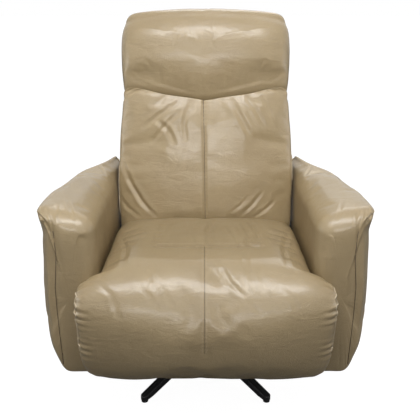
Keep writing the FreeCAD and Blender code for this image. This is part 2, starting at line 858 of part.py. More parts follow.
def arm_section(y, share, inset):
    """The arm's outline across the chair: flat inside, rolled over the top, bulging outside."""
    top_outer = sheet.arm_rear_outer + (sheet.arm_front_outer - sheet.arm_rear_outer) * share - inset
    bulge = sheet.arm_rear_bulge + (sheet.arm_front_bulge - sheet.arm_rear_bulge) * share - inset
    foot = sheet.arm_rear_foot + (sheet.arm_front_foot - sheet.arm_rear_foot) * share - inset
    inner = sheet.arm_inner + inset * 0.6
    top = sheet.arm_top - inset
    bottom = sheet.arm_bottom + inset
    shoulder = top - 18
    inner_shoulder = top - 34
    crest = inner + (top_outer - inner) * 0.45
    middle_height = (top + bottom) / 2 + 30
    low = (inner, y, bottom + 14)
    high = (inner, y, inner_shoulder)
    edge = (top_outer, y, shoulder)
    heel = (foot, y, bottom + 20)
    return Part.Wire([
        line(low, high),
        arc(high, (crest, y, top), edge),
        arc(edge, (bulge, y, middle_height), heel),
        arc(heel, ((inner + foot) / 2, y, bottom), low),
    ])


def make_arm_form():
    front, rear = sheet.arm_front, sheet.arm_rear
    length = rear - front
    front_round, rear_round = sheet.arm_front_round, sheet.arm_rear_round
    stations = [(front_round * (1 - math.cos(turn)), front_round * (1 - math.sin(turn)))
                for turn in (0, math.pi / 6, math.pi / 3, math.pi / 2)]
    stations += [(length * share, 0) for share in (0.2, 0.4, 0.6, 0.8)]
    stations += [(length - rear_round * (1 - math.cos(turn)), rear_round * (1 - math.sin(turn)))
                 for turn in (math.pi / 2, math.pi / 3, math.pi / 6, 0)]
    sections = [arm_section(front + along, 1 - along / length, inset) for along, inset in stations]
    return Part.makeLoft(sections, True, False, False, LOFT_DEGREE)


arm_form = make_arm_form()
panel_outer = sheet.panel_inner + sheet.panel_thickness
arm_form = arm_form.cut(slab(sheet.panel_inner - gap, panel_outer + gap, sheet.panel_front - gap,
                             sheet.panel_rear + gap, sheet.panel_bottom - gap, sheet.panel_top + gap))
relief_top = float(side_rail_top) + 8
arm_form = arm_form.cut(slab(0, sheet.panel_inner, sheet.seat_box_front - gap,
                             sheet.panel_rear + gap, 0, relief_top))
arm_form = arm_form.cut(slab(0, float(bracket_outer) + 1, sheet.footrest_pivot_y - 40,
                             sheet.seat_box_front + 130, 0, relief_top))
for name, side in SIDES:
    form = arm_form if side > 0 else arm_form.mirror(Vector(0, 0, 0), Vector(1, 0, 0))
    soft(f"arm_upholstery_{name}", form)

# Seat cushion between the arms, hollowed round the back's knuckle and the footrest's roll


def seat_section(y, drop):
    low, step = float(webbing_top) + gap, sheet.seat_step_height
    narrow, wide = sheet.seat_low_half_width, sheet.seat_half_width
    crown = float(seat_crown) - drop
    edge = crown - sheet.seat_crown_rise
    return Part.Wire([
        line((-narrow, y, low), (narrow, y, low)),
        line((narrow, y, low), (narrow, y, step)),
        arc((narrow, y, step), (wide, y, (step + edge) / 2 + 8), (wide - 16, y, edge)),
        arc((wide - 16, y, edge), (0, y, crown), (16 - wide, y, edge)),
        arc((16 - wide, y, edge), (-wide, y, (step + edge) / 2 + 8), (-narrow, y, step)),
        line((-narrow, y, step), (-narrow, y, low)),
    ])


seat_form = Part.makeLoft([
    seat_section(y, drop)
    for y, drop in ((sheet.seat_back, 14), (40, 4), (-80, 0), (-200, 1), (sheet.seat_front, 6))
], True, False, False, LOFT_DEGREE)
ear_inner = sheet.hinge_plate_inner - gap / 3
ear_start = Vector(ear_inner, sheet.footrest_pivot_y, sheet.footrest_pivot_height)
ear = Part.makeCylinder(sheet.ear_radius, sheet.ear_half_width - ear_inner, ear_start, Vector(1, 0, 0))
ear_rim = [edge for edge in ear.Edges if edge.BoundBox.XMin > ear_inner + 1]
ear = ear.makeFillet(sheet.ear_radius * 0.5, ear_rim)
ear = ear.cut(slab(sheet.seat_half_width, 500, sheet.flare_rear, 0, 0, 900))
seat_form = seat_form.fuse([ear, ear.mirror(Vector(0, 0, 0), Vector(1, 0, 0))])
seat_form = seat_form.cut(rod(sheet.knuckle_radius + sheet.crease_gap, 400, *map(float, back_pivot)))
shell_sweep = rod(sheet.shell_foot_radius + sheet.crease_gap, 400, *map(float, back_pivot))
sweep_top = sheet.back_pivot_height - sheet.knuckle_radius * 0.6
seat_form = seat_form.cut(shell_sweep.common(slab(-400, 400, 0, 300, 0, sweep_top)))
back_zone = slab(-400, 400, -sheet.back_front - 4, 300, 0, 300)
back_zone.Placement = lean
seat_form = seat_form.cut(back_zone)
seat_form = seat_form.cut(slab(-400, 400, sheet.back_pivot_y - 40, 300, 0, 900))
seat_form = seat_form.cut(rod(sheet.roll_radius + sheet.crease_gap, sheet.roll_half_width + gap,
                              *map(float, footrest_pivot)))
for side in (-1, 1):
    low, high = sorted((side * (sheet.roll_half_width + gap), side * (float(bracket_outer) + gap)))
    seat_form = seat_form.cut(slab(low, high, sheet.footrest_pivot_y - 60, sheet.footrest_pivot_y + 56, 0,
                                   sheet.footrest_pivot_height + sheet.disc_radius + 1))
    low, high = sorted((side * (sheet.link_inner - gap), side * 400))
    link_zone = float(footrest_crank_height + s.link_eye_radius) + gap
    seat_form = seat_form.cut(slab(low, high, sheet.footrest_pivot_y, sheet.back_pivot_y + 40, 0, link_zone))
crown = float(seat_crown)
up = Vector(0, 0, 1)
seam = (sheet.seam_width, sheet.seam_depth)
yoke_y = sheet.yoke_seam_y
yoke_half = sheet.yoke_half_width
centre_run = [Vector(0, yoke_y, crown), Vector(0, sheet.seat_seam_front, crown - 5)]
seat_form = seat_form.cut(groove(centre_run, up, *seam))
yoke_run = [Vector(x, yoke_y, crown - 2.2 * abs(x) / yoke_half) for x in (-yoke_half, 0, yoke_half)]
seat_form = seat_form.cut(groove(yoke_run, up, *seam))
for side in (-1, 1):
    yoke_end = [Vector(side * yoke_half, yoke_y, crown - 2.4),
                Vector(side * sheet.yoke_end_half_width, sheet.yoke_end_y, crown - 8)]
    seat_form = seat_form.cut(groove(yoke_end, up, *seam))
soft("seat_cushion", seat_form)

# Footrest pad: a roll about its hinge over a crowned hanging pad that flares past the arms


def pad_section(z, half, front, flare_rear):
    rear = sheet.pad_rear
    narrow = sheet.roll_half_width - 3
    side = half - 26
    edge = front + 22
    return Part.Wire([
        line((-narrow, rear, z), (narrow, rear, z)),
        line((narrow, rear, z), (narrow + 5, flare_rear, z)),
        arc((narrow + 5, flare_rear, z), (half, (flare_rear + edge) / 2, z), (side, edge, z)),
        arc((side, edge, z), (0, front, z), (-side, edge, z)),
        arc((-side, edge, z), (-half, (flare_rear + edge) / 2, z), (-narrow - 5, flare_rear, z)),
        line((-narrow - 5, flare_rear, z), (-narrow, rear, z)),
    ])


flare = sheet.pad_half_width
flare_rear = sheet.flare_rear
pad_height = sheet.flare_top - sheet.pad_bottom
pad_stations = ((0, 38, 46), (0.06, 20, 31), (0.22, 6, 13), (0.5, 0, 3), (0.8, 0, 1), (1, 5, 2))
pad_form = Part.makeLoft([
    pad_section(sheet.pad_bottom + pad_height * share, flare - drawn_in, sheet.pad_front + set_back,
                flare_rear) for share, drawn_in, set_back in pad_stations
], True, False, False, LOFT_DEGREE)
for side in (-1, 1):
    start = Vector(side * sheet.roll_half_width, sheet.footrest_pivot_y, sheet.footrest_pivot_height)
    hollow = Part.makeCylinder(sheet.ear_radius + sheet.crease_gap, 200, start, Vector(side, 0, 0))
    pad_form = pad_form.cut(hollow)
    low, high = sorted((side * sheet.roll_half_width, side * (float(hinge_plate_outer) + 0.5)))
    pad_form = pad_form.cut(slab(low, high, sheet.footrest_pivot_y - 20, sheet.pad_rear + 1,
                                 sheet.board_bottom + 50, sheet.flare_top))
    low, high = sorted((side * (sheet.roll_half_width + 2), side * 500))
    pad_form = pad_form.cut(slab(low, high, flare_rear, 0, 0, 900))
pad_form = pad_form.cut(slab(-sheet.roll_half_width, sheet.roll_half_width,
                             sheet.seat_front - sheet.crease_gap, 0, float(board_top), 900))
roll = rod(sheet.roll_radius, sheet.roll_half_width, *map(float, footrest_pivot))
pad_form = pad_form.fuse(roll).removeSplitter()
soft("footrest_pad", pad_form)

# Back and headrest: one tall crowned form in the back's own leaning frame, whose height is along Z.
# It is split at the headrest's V seam, which is a double cone about the headrest's hinge.


def back_section(height, half, front, rear):
    """Across the back: crowned front and rear faces and drawn-in sides."""
    front_edge, rear_edge = front * 0.78, rear * 0.86
    corner = half - 10
    middle = (rear_edge - front_edge) / 2
    return Part.Wire([
        arc((-corner, -front_edge, height), (0, -front, height), (corner, -front_edge, height)),
        arc((corner, -front_edge, height), (half, middle, height), (corner, rear_edge, height)),
        arc((corner, rear_edge, height), (0, rear, height), (-corner, rear_edge, height)),
        arc((-corner, rear_edge, height), (-half, middle, height), (-corner, -front_edge, height)),
    ])


wide, waist = sheet.back_half_width, sheet.back_waist_half_width
thick, deep, tall = sheet.back_front, sheet.back_rear, sheet.back_top
hinge = sheet.head_pivot_rise
back_stations = (
    (-95, wide - 14, thick - 12, deep - 26),
    (0, wide - 8, thick - 2, deep - 10),
    (95, wide - 3, thick + 1, deep - 2),
    (195, wide, thick + 2, deep),
    (295, wide - 6, thick + 1, deep),
    (hinge - 92, wide - 13, thick - 1, deep - 3),
    (hinge - 12, waist, thick, deep - 9),
    (hinge + 70, waist + 3, thick + 7, deep - 18),
    (tall - 80, waist + 8, thick + 4, deep - 26),
    (tall - 36, waist + 5, thick - 13, deep - 38),
    (tall - 10, waist - 8, thick - 36, deep - 56),
    (tall, waist - 24, thick - 58, deep - 76),
)
back_sections = [back_section(*station) for station in back_stations]
back_form = Part.makeLoft(back_sections, True, False, False, LOFT_DEGREE)


def knuckle(extra):
    """The double cone that the V seam follows, with its rear and lower half."""
    end = waist + 40
    quarter = waist / 2
    outer = sheet.v_radius_end - (sheet.v_radius_quarter - sheet.v_radius_end) * (end - waist) / quarter
    profile = [
        (-end, 0), (-end, outer + extra), (-quarter, sheet.v_radius_quarter + extra),
        (0, sheet.v_radius_middle + extra), (quarter, sheet.v_radius_quarter + extra),
        (end, outer + extra), (end, 0),
    ]
    points = [Vector(x, 0, hinge + r) for x, r in profile]
    face = Part.Face(Part.makePolygon(points + points[:1]))
    return face.revolve(Vector(0, 0, hinge), Vector(1, 0, 0), FULL_TURN)


above = slab(-500, 500, -300, 300, hinge, tall + 100)
above_with_gap = slab(-500, 500, -300, 300, hinge - sheet.head_gap, tall + 100)
head_form = back_form.common(above.fuse(knuckle(0)))
lower_form = back_form.cut(above_with_gap.fuse(knuckle(sheet.head_gap)))
split = sheet.back_split
foot_halves = ((-300, split, sheet.knuckle_radius), (split, 300, sheet.shell_foot_radius))
for front, rear, radius in foot_halves:
    foot_zone = slab(-500, 500, front, rear, -200, 0)
    lower_form = lower_form.cut(foot_zone.cut(rod(radius, 500, 0, 0)))
plate_recess = sheet.hinge_plate_inner - gap
for side in (-1, 1):
    low, high = sorted((side * plate_recess, side * 500))
    lower_form = lower_form.cut(slab(low, high, -64, 62, -200, 158))
cushion_form = lower_form.common(slab(-500, 500, -300, split - gap, -300, 900))
shell_form = lower_form.common(slab(-500, 500, split, 300, -300, 900))
rim_from = sheet.v_rim_half_width
cone_slope = (sheet.v_radius_quarter - sheet.v_radius_end) / (waist / 2)
rim_radius = sheet.v_radius_end + cone_slope * (waist - rim_from) + sheet.head_gap
for side in (-1, 1):
    rim = Part.makeCylinder(rim_radius, 100, Vector(side * rim_from, 0, hinge), Vector(side, 0, 0))
    cushion_form = cushion_form.cut(rim)
pocket = sheet.shell_pocket_half_width
pocket_top = sheet.frame_top + sheet.frame_tube_radius + 4
pocket_rear = split + sheet.shell_pocket_depth
shell_form = shell_form.cut(slab(-pocket, pocket, split - 1, pocket_rear, -300, pocket_top))
for side in (-1, 1):
    low, high = sorted((side * (sheet.ratchet_offset - 6), side * (sheet.ratchet_offset + 2)))
    shell_form = shell_form.cut(slab(low, high, split - 1, split + 26, pocket_top - 1, hinge))
frame_depth = split + 2 + sheet.frame_tube_radius
bolt_heights = (s.back_bolt_low, s.back_bolt_high)
for side in (-1, 1):
    for height in bolt_heights:
        start = Vector(side * (pocket - 1), frame_depth, float(height))
        hole = Part.makeCylinder(sheet.back_bolt_radius + gap, 40, start, Vector(side, 0, 0))
        shell_form = shell_form.cut(hole)
front_points = [Vector(0, -front, height) for height, _, front, _ in back_stations[1:6]]
cushion_form = cushion_form.cut(groove(front_points, Vector(0, -1, 0), *seam))

ratchet = sheet.ratchet_offset
head_plate_front = 10
for side in (-1, 1):
    low, high = sorted((side * (ratchet - 5), side * (ratchet + 5)))
    head_form = head_form.cut(slab(low, high, -66, 66, hinge - 130, sheet.head_plate_bottom + 20))
head_plate_half = sheet.head_plate_half_width + gap
head_plate_rear = head_plate_front + sheet.head_plate_thickness
head_form = head_form.cut(slab(-head_plate_half, head_plate_half, head_plate_front - gap,
                               head_plate_rear + gap, sheet.head_plate_bottom - gap,
                               sheet.head_plate_top + gap))
back_forms = (("back_cushion", cushion_form), ("back_shell", shell_form), ("headrest_cushion", head_form))
for label, form in back_forms:
    soft(label, form).Placement = lean

# Frame, plates and webbing inside the back


def lean_with_back(thing):
    """Stand a piece of the back in the leaning frame at the back's hinge."""
    place(thing, 0, s.back_pivot_y, s.back_pivot_height, Vector(-1, 0, 0), s.back_lean)
    return thing


def make_back_frame():
    """A bent steel tube that runs up both sides and across the top."""
    half, bend = sheet.frame_half_width, sheet.frame_bend_radius
    low, high = sheet.frame_bottom, sheet.frame_top
    diagonal = bend * (1 - math.sqrt(0.5))
    path = Part.Wire([
        line((-half, frame_depth, low), (-half, frame_depth, high - bend)),
        arc((-half, frame_depth, high - bend), (-half + diagonal, frame_depth, high - diagonal),
            (-half + bend, frame_depth, high)),
        line((-half + bend, frame_depth, high), (half - bend, frame_depth, high)),
        arc((half - bend, frame_depth, high), (half - diagonal, frame_depth, high - diagonal),
            (half, frame_depth, high - bend)),
        line((half, frame_depth, high - bend), (half, frame_depth, low)),
    ])
    foot = Vector(-half, frame_depth, low)
    start = Part.Wire(Part.Circle(foot, Vector(0, 0, 1), sheet.frame_tube_radius).toShape())
    return path.makePipeShell([start], True, False)


frame = soft("back_frame", make_back_frame())
frame.Placement = lean


def make_back_webbing():
    items = []
    for index in range(int(sheet.back_webbing_count)):
        strap = new_body("back_strap")
        low = s.back_webbing_pitch * index + 16
        sketch = new_sketch(strap, "XY_Plane", low)
        half = s.frame_half_width + s.frame_tube_radius / 2
        draw_rectangle(sketch, -half, s.back_split + gap, half, s.back_split + 2)
        pad(strap, sketch, s.back_webbing_width)
        items.append(lean_with_back(strap))
    return group("back_webbing", items)


make_back_webbing()
crank_turn = s.recline_angle / 2 + s.back_lean
crank_tip = (s.back_crank * sine(crank_turn), -s.back_crank * cosine(crank_turn))
for name, side in SIDES:
    upright = make_plate(f"back_plate_{name}", side, s.hinge_plate_inner, s.hinge_plate_thickness, (
        ((0, 0), s.disc_radius + 4, (s.back_split + 22, 130), s.disc_radius),
        ((0, 0), s.disc_radius, crank_tip, s.link_eye_radius),
    ), (
        (0, 0, s.back_pin_radius + s.running_gap),
    ))
    lean_with_back(upright)


def make_back_bolts():
    """Bolts through each back plate and the shell's side wall into the frame tube."""
    items = []
    inner = s.frame_half_width + s.frame_tube_radius
    length = s.hinge_plate_inner - inner
    for _, side in SIDES:
        for height in bolt_heights:
            offset = lean.Rotation.multVec(Vector(0, frame_depth, float(height)))
            items.append(cylinder(s.back_bolt_radius, length, side_range(side, inner, length),
                                  s.back_pivot_y + offset.y, s.back_pivot_height + offset.z, Vector(0, 1, 0)))
    return group("back_bolts", items)


make_back_bolts()

# Headrest plate and ratchet hinges

plate = new_body("headrest_plate")
face = new_sketch(plate, "XY_Plane", s.head_plate_bottom)
draw_rectangle(face, -s.head_plate_half_width, head_plate_front, s.head_plate_half_width,
               s.head_plate_thickness + head_plate_front)
pad(plate, face, s.head_plate_top - s.head_plate_bottom)
lean_with_back(keep(plate, "headrest_plate"))
ratchet_eye = s.ratchet_pin_radius * 2
fixed_leaves, moving_leaves = [], []
tube_crown = s.frame_top + s.frame_tube_radius
for _, side in SIDES:
    fixed = make_plate("ratchet_bracket", side, s.ratchet_offset - s.ratchet_thickness - 0.1,
                       s.ratchet_thickness, (
        ((0, s.head_pivot_rise), ratchet_eye, (frame_depth, tube_crown + 12), 8),
        ((frame_depth - 8, tube_crown), (frame_depth + 8, tube_crown),
         (frame_depth + 8, tube_crown + 14), (frame_depth - 8, tube_crown + 14)),
    ), (
        (0, s.head_pivot_rise, s.ratchet_pin_radius + s.running_gap),
    ), own_node=False)
    fixed_leaves.append(lean_with_back(fixed))
    moving = make_plate("ratchet_arm", side, s.ratchet_offset + 0.1, s.ratchet_thickness, (
        ((0, s.head_pivot_rise), ratchet_eye, (head_plate_front - 6, s.head_plate_bottom - 8), 6),
        ((head_plate_front - 8, s.head_plate_bottom - 12), (head_plate_front + 6, s.head_plate_bottom - 12),
         (head_plate_front + 6, s.head_plate_bottom), (head_plate_front - 8, s.head_plate_bottom)),
    ), (
        (0, s.head_pivot_rise, s.ratchet_pin_radius + s.running_gap),
    ), own_node=False)
    moving_leaves.append(lean_with_back(moving))
group("ratchet_brackets", fixed_leaves)
group("ratchet_arms", moving_leaves)


def make_ratchet_pins():
    items = []
    inner = s.ratchet_offset - s.ratchet_thickness - 0.4
    length = s.ratchet_thickness * 2 + 0.8
    rise = lean.Rotation.multVec(Vector(0, 0, 1))
    for _, side in SIDES:
        items.append(cylinder(s.ratchet_pin_radius, length, side_range(side, inner, length),
                              s.back_pivot_y + s.head_pivot_rise * rise.y,
                              s.back_pivot_height + s.head_pivot_rise * rise.z, Vector(0, 1, 0)))
    return group("ratchet_pins", items)


make_ratchet_pins()

# Checks and export

doc.recompute()
faults = [f"{thing.Label}: {thing.State}" for thing in doc.Objects
          if "Invalid" in thing.State or "Error" in thing.State]
for node in nodes:
    if node.Shape.isNull() or not node.Shape.isValid() or not node.Shape.Solids:
        faults.append(f"{node.Label}: no valid solid")
if faults:
    raise SystemExit("failed objects: " + "; ".join(faults))

os.makedirs("parts", exist_ok=True)
for node in nodes:
    placed = node.Shape.copy()
    placed.translate(Vector(0, float(Size.of(s.depth_shift)), 0))
    placed.exportStep(os.path.join("parts", f"{node.Label}.step"))
    box = placed.BoundBox
    spans = (box.XMin, box.XMax, box.YMin, box.YMax, box.ZMin, box.ZMax)
    print(f"{node.Label:24s} solids {len(node.Shape.Solids)} faces {len(node.Shape.Faces):3d} "
          + " ".join(f"{value:7.1f}" for value in spans))
print(f"{len(nodes)} nodes")
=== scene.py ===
"""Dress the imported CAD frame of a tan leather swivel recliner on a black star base."""

from __future__ import annotations

import json
import logging
import math
from dataclasses import dataclass, replace
from enum import Enum
from typing import Callable, Iterable, Sequence

import bmesh
import bpy
import numpy as np
from mathutils import Matrix, Vector
from mathutils.bvhtree import BVHTree

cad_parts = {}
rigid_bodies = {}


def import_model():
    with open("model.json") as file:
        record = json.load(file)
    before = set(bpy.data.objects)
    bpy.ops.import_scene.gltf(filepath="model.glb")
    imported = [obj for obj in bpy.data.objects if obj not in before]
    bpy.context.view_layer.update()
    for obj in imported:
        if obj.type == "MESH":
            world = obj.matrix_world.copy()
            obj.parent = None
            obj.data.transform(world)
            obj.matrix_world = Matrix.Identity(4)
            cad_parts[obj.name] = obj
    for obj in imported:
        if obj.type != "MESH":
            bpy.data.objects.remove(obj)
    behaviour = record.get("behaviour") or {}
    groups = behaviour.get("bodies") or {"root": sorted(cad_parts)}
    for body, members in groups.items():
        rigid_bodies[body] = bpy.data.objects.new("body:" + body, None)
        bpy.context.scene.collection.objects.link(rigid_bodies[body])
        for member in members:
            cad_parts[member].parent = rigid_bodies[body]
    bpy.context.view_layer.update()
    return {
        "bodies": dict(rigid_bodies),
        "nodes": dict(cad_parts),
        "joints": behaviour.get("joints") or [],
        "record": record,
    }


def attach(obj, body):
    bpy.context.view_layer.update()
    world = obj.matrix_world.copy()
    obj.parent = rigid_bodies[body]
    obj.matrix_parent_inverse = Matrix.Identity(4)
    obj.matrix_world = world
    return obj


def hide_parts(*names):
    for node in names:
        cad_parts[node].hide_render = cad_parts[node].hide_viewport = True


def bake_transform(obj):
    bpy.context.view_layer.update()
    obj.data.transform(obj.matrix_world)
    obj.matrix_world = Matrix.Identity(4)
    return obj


LOG = logging.getLogger("recliner")
MM = 0.001
Point = tuple[float, float]
Triple = tuple[float, float, float]
# The forms are drawn about the swivel axis, which stands this far behind the origin, in metres.
AXIS_DEPTH = 0.031


# ---------------------------------------------------------------------------------------------
# Camera of the front view, used for the real camera and for placing seams and folds
# ---------------------------------------------------------------------------------------------


@dataclass(frozen=True)
class FrontView:
    """The camera that looks at the chair from the front, a little above it.

    Attributes:
        place: Where the camera stands, in metres.
        pitch: How far it looks down, in degrees.
        focal: Focal length in pixels of the square frame.
        frame: Side of the frame in pixels.
        middle: Column of the chair's middle in the frame.
        sensor: Width of the camera's sensor in millimetres.
    """

    place: Triple = (0.0, -1.76, 1.127)
    pitch: float = 19.23
    focal: float = 606.0
    frame: float = 420.0
    middle: float = 205.6
    sensor: float = 36.0

    def axes(self) -> tuple[np.ndarray, np.ndarray]:
        """Return the forward and the up direction."""
        turn = math.radians(self.pitch)
        forward = np.array((0.0, math.cos(turn), -math.sin(turn)))
        up = np.array((0.0, math.sin(turn), math.cos(turn)))
        return forward, up

    def project(self, points: np.ndarray) -> np.ndarray:
        """Project points to the frame.

        Args:
            points: Array of shape (n, 3), in metres.

        Returns:
            Array of shape (n, 2) with columns and rows of the frame.
        """
        forward, up = self.axes()
        offset = points - np.array(self.place)
        depth = offset @ forward
        column = self.middle + self.focal * offset[:, 0] / depth
        row = self.frame / 2 - self.focal * (offset @ up) / depth
        return np.stack((column, row), axis=1)

    def ray(self, column: float, row: float) -> Vector:
        """Return the direction of the ray through a place in the frame."""
        forward, up = self.axes()
        right = np.array((1.0, 0.0, 0.0))
        across = (column - self.middle) / self.focal
        above = (self.frame / 2 - row) / self.focal
        return Vector(forward + right * across + up * above).normalized()

    def mirror(self, line: Iterable[Point]) -> tuple[Point, ...]:
        """Return a line of the frame on the chair's other side."""
        return tuple((2 * self.middle - column, row) for column, row in line)

    def make_camera(self) -> None:
        """Make the scene's camera."""
        data = bpy.data.cameras.new("front_camera")
        data.sensor_width = self.sensor
        data.lens = self.focal * self.sensor / self.frame
        data.shift_x = (self.frame / 2 - self.middle) / self.frame
        camera = bpy.data.objects.new("front_camera", data)
        bpy.context.scene.collection.objects.link(camera)
        camera.location = (self.place[0], self.place[1] + AXIS_DEPTH, self.place[2])
        camera.rotation_euler = (math.radians(90 - self.pitch), 0.0, 0.0)
        bpy.context.scene.camera = camera


VIEW = FrontView()


# ---------------------------------------------------------------------------------------------
# Shader building
# ---------------------------------------------------------------------------------------------


# Sockets of a Mix node that mixes colours, by number, because their names repeat.
MIX_SHARE, MIX_FIRST, MIX_SECOND, MIX_RESULT = 0, 6, 7, 2


class Wire:
    """A socket of a shader tree that takes part in sums as a Python value would."""

    def __init__(self, tree: "Shader", socket: bpy.types.NodeSocket) -> None:
        """Wrap a socket of a tree."""
        self.tree = tree
        self.socket = socket

    def _math(self, operation: str, first: object, second: object) -> "Wire":
        """Add a Math node and return its value."""
        return self.tree.node("ShaderNodeMath", {"operation": operation}, {0: first, 1: second})

    def __add__(self, other: object) -> "Wire":
        """Add."""
        return self._math("ADD", self, other)

    def __radd__(self, other: object) -> "Wire":
        """Add to a number."""
        return self._math("ADD", other, self)

    def __sub__(self, other: object) -> "Wire":
        """Subtract."""
        return self._math("SUBTRACT", self, other)

    def __rsub__(self, other: object) -> "Wire":
        """Subtract from a number."""
        return self._math("SUBTRACT", other, self)

    def __mul__(self, other: object) -> "Wire":
        """Multiply."""
        return self._math("MULTIPLY", self, other)

    def __rmul__(self, other: object) -> "Wire":
        """Multiply a number."""
        return self._math("MULTIPLY", other, self)

    def above(self, low: float, high: float) -> "Wire":
        """Ramp smoothly from 0 at low to 1 at high."""
        return self.tree.node(
            "ShaderNodeMapRange", {"interpolation_type": "SMOOTHSTEP", "clamp": True},
            {"Value": self, "From Min": low, "From Max": high, "To Min": 0.0, "To Max": 1.0})


class Shader:
    """A material under construction."""

    def __init__(self, name: str) -> None:
        """Start an empty material."""
        self.material = bpy.data.materials.new(name)
        self.material.use_nodes = True
        self.nodes = self.material.node_tree.nodes
        self.links = self.material.node_tree.links
        self.nodes.clear()

    def node(self, kind: str, settings: dict[str, object] | None = None,
             inputs: dict[object, object] | None = None, output: object = 0) -> Wire:
        """Add a node.

        Args:
            kind: The node's type name.
            settings: Properties, which are set before its sockets are used.
            inputs: Values or wires for its sockets, by name or number.
            output: Which output to return.

        Returns:
            The chosen output.
        """
        made = self.nodes.new(kind)
        for key, value in (settings or {}).items():
            setattr(made, key, value)
        for key, value in (inputs or {}).items():
            if isinstance(value, Wire):
                self.links.new(value.socket, made.inputs[key])
            else:
                made.inputs[key].default_value = value
        return Wire(self, made.outputs[output])

    def coordinates(self) -> Wire:
        """Return the Object coordinates."""
        return self.node("ShaderNodeTexCoord", output="Object")

    def stretched(self, scale: Triple, turn: Triple = (0, 0, 0)) -> Wire:
        """Return Object coordinates scaled and turned."""
        return self.node("ShaderNodeMapping", {},
                         {"Vector": self.coordinates(), "Scale": scale, "Rotation": turn})

    def noise(self, scale: float, detail: float = 3.0, rough: float = 0.55,
              where: Wire | None = None, distort: float = 0.0) -> Wire:
        """Return a noise value of so many waves to the metre."""
        return self.node("ShaderNodeTexNoise", {}, {
            "Vector": where or self.coordinates(), "Scale": scale, "Detail": detail,
            "Roughness": rough, "Distortion": distort})

    def cells(self, scale: float, feature: str = "F1") -> Wire:
        """Return the distance of a cell pattern."""
        return self.node("ShaderNodeTexVoronoi", {"feature": feature},
                         {"Vector": self.coordinates(), "Scale": scale}, "Distance")

    def bands(self, direction: str, scale: float, distort: float = 0.0) -> Wire:
        """Return a pattern of bands across a direction."""
        return self.node(
            "ShaderNodeTexWave", {"wave_type": "BANDS", "bands_direction": direction},
            {"Vector": self.coordinates(), "Scale": scale, "Distortion": distort}, "Fac")

    def blend_colours(self, share: object, first: object, second: object) -> Wire:
        """Mix two colours by a share."""
        return self.node("ShaderNodeMix", {"data_type": "RGBA"},
                         {MIX_SHARE: share, MIX_FIRST: first, MIX_SECOND: second}, MIX_RESULT)

    def bump(self, height: Wire, distance: float, strength: float,
             under: Wire | None = None) -> Wire:
        """Turn a height into a normal, on top of another normal where one is given."""
        inputs = {"Strength": strength, "Distance": distance, "Height": height}
        if under is not None:
            inputs["Normal"] = under
        return self.node("ShaderNodeBump", {}, inputs, "Normal")

    def surface(self, **sockets: object) -> bpy.types.Material:
        """Finish the material with a principled surface.

        Args:
            **sockets: Socket values by name, with underscores for spaces.

        Returns:
            The material.
        """
        inputs = {name.replace("_", " "): value for name, value in sockets.items()}
        shader = self.node("ShaderNodeBsdfPrincipled", {}, inputs, "BSDF")
        self.node_output(shader)
        return self.material

    def node_output(self, shader: Wire) -> None:
        """Lead a shader to the material's output."""
        output = self.nodes.new("ShaderNodeOutputMaterial")
        self.links.new(shader.socket, output.inputs["Surface"])


def tone(colour: Triple, gain: float = 1.0) -> tuple[float, float, float, float]:
    """Return a colour with its alpha, made lighter or darker."""
    red, green, blue = (min(1.0, part * gain) for part in colour)
    return (red, green, blue, 1.0)


@dataclass(frozen=True)
class LeatherFinish:
    """Glossy, lightly creased hide with a fine grain.

    Attributes:
        name: The material's name.
        colour: The hide's own colour.
        shade: The darker tone of its clouds, mottles and cracks.
        gloss: Roughness of the clean hide.
        coat: Weight of the clear finish on it.
        grain: Height of the grain in metres.
        relief: Height of the veins in metres.
        cloud: Clouds to the metre.
        mottle: Mottles to the metre.
        pore: Pores to the metre.
        crack: Cells between the cracks to the metre.
        vein: Veins to the metre.
    """

    name: str = "tan_leather"
    colour: Triple = (0.330, 0.250, 0.138)
    shade: Triple = (0.250, 0.183, 0.096)
    gloss: float = 0.27
    coat: float = 0.28
    grain: float = 0.00042
    relief: float = 0.0042
    cloud: float = 5.0
    mottle: float = 46.0
    pore: float = 640.0
    crack: float = 330.0
    vein: float = 15.0

    def make(self) -> bpy.types.Material:
        """Build the material."""
        s = Shader(self.name)
        tired = s.noise(self.cloud, 4.0, 0.6).above(0.40, 0.72)
        mottle = s.noise(self.mottle, 4.0, 0.62)
        pores = s.cells(self.pore)
        crack = 1.0 - s.cells(self.crack, "DISTANCE_TO_EDGE").above(0.0, 0.10)
        veins = s.noise(self.vein, 5.0, 0.6, s.stretched((1.0, 1.0, 2.6), (0.3, 0.5, 0.2)), 1.1)
        base = s.blend_colours(tired * 0.42, tone(self.colour), tone(self.shade))
        base = s.blend_colours(mottle.above(0.42, 0.78) * 0.22, base, tone(self.shade, 1.08))
        base = s.blend_colours(crack * 0.16, base, tone(self.shade, 0.72))
        rough = self.gloss + mottle * 0.07 + tired * 0.04
        fine = pores * 0.30 - crack * 0.55 + mottle * 0.35
        normal = s.bump(fine, self.grain, 0.62, under=s.bump(veins, self.relief, 0.42))
        return s.surface(Base_Color=base, Roughness=rough, Normal=normal, Coat_Weight=self.coat,
                         Coat_Roughness=0.20, IOR=1.47, Specular_IOR_Level=0.5)


@dataclass(frozen=True)
class SeamFinish:
    """Thread or piping lighter than the leather, or a near-black cord that paints the shade in a
    seam's groove.
    """

    name: str
    colour: Triple
    gloss: float = 0.5
    twist: float = 900.0

    def make(self) -> bpy.types.Material:
        """Build the material."""
        s = Shader(self.name)
        strands = s.bands("DIAGONAL", self.twist, 1.5)
        tint = s.noise(120.0, 2.0)
        base = s.blend_colours(tint * 0.5, tone(self.colour), tone(self.colour, 0.7))
        return s.surface(Base_Color=base, Roughness=self.gloss + tint * 0.1,
                         Normal=s.bump(strands, 0.0003, 0.4))


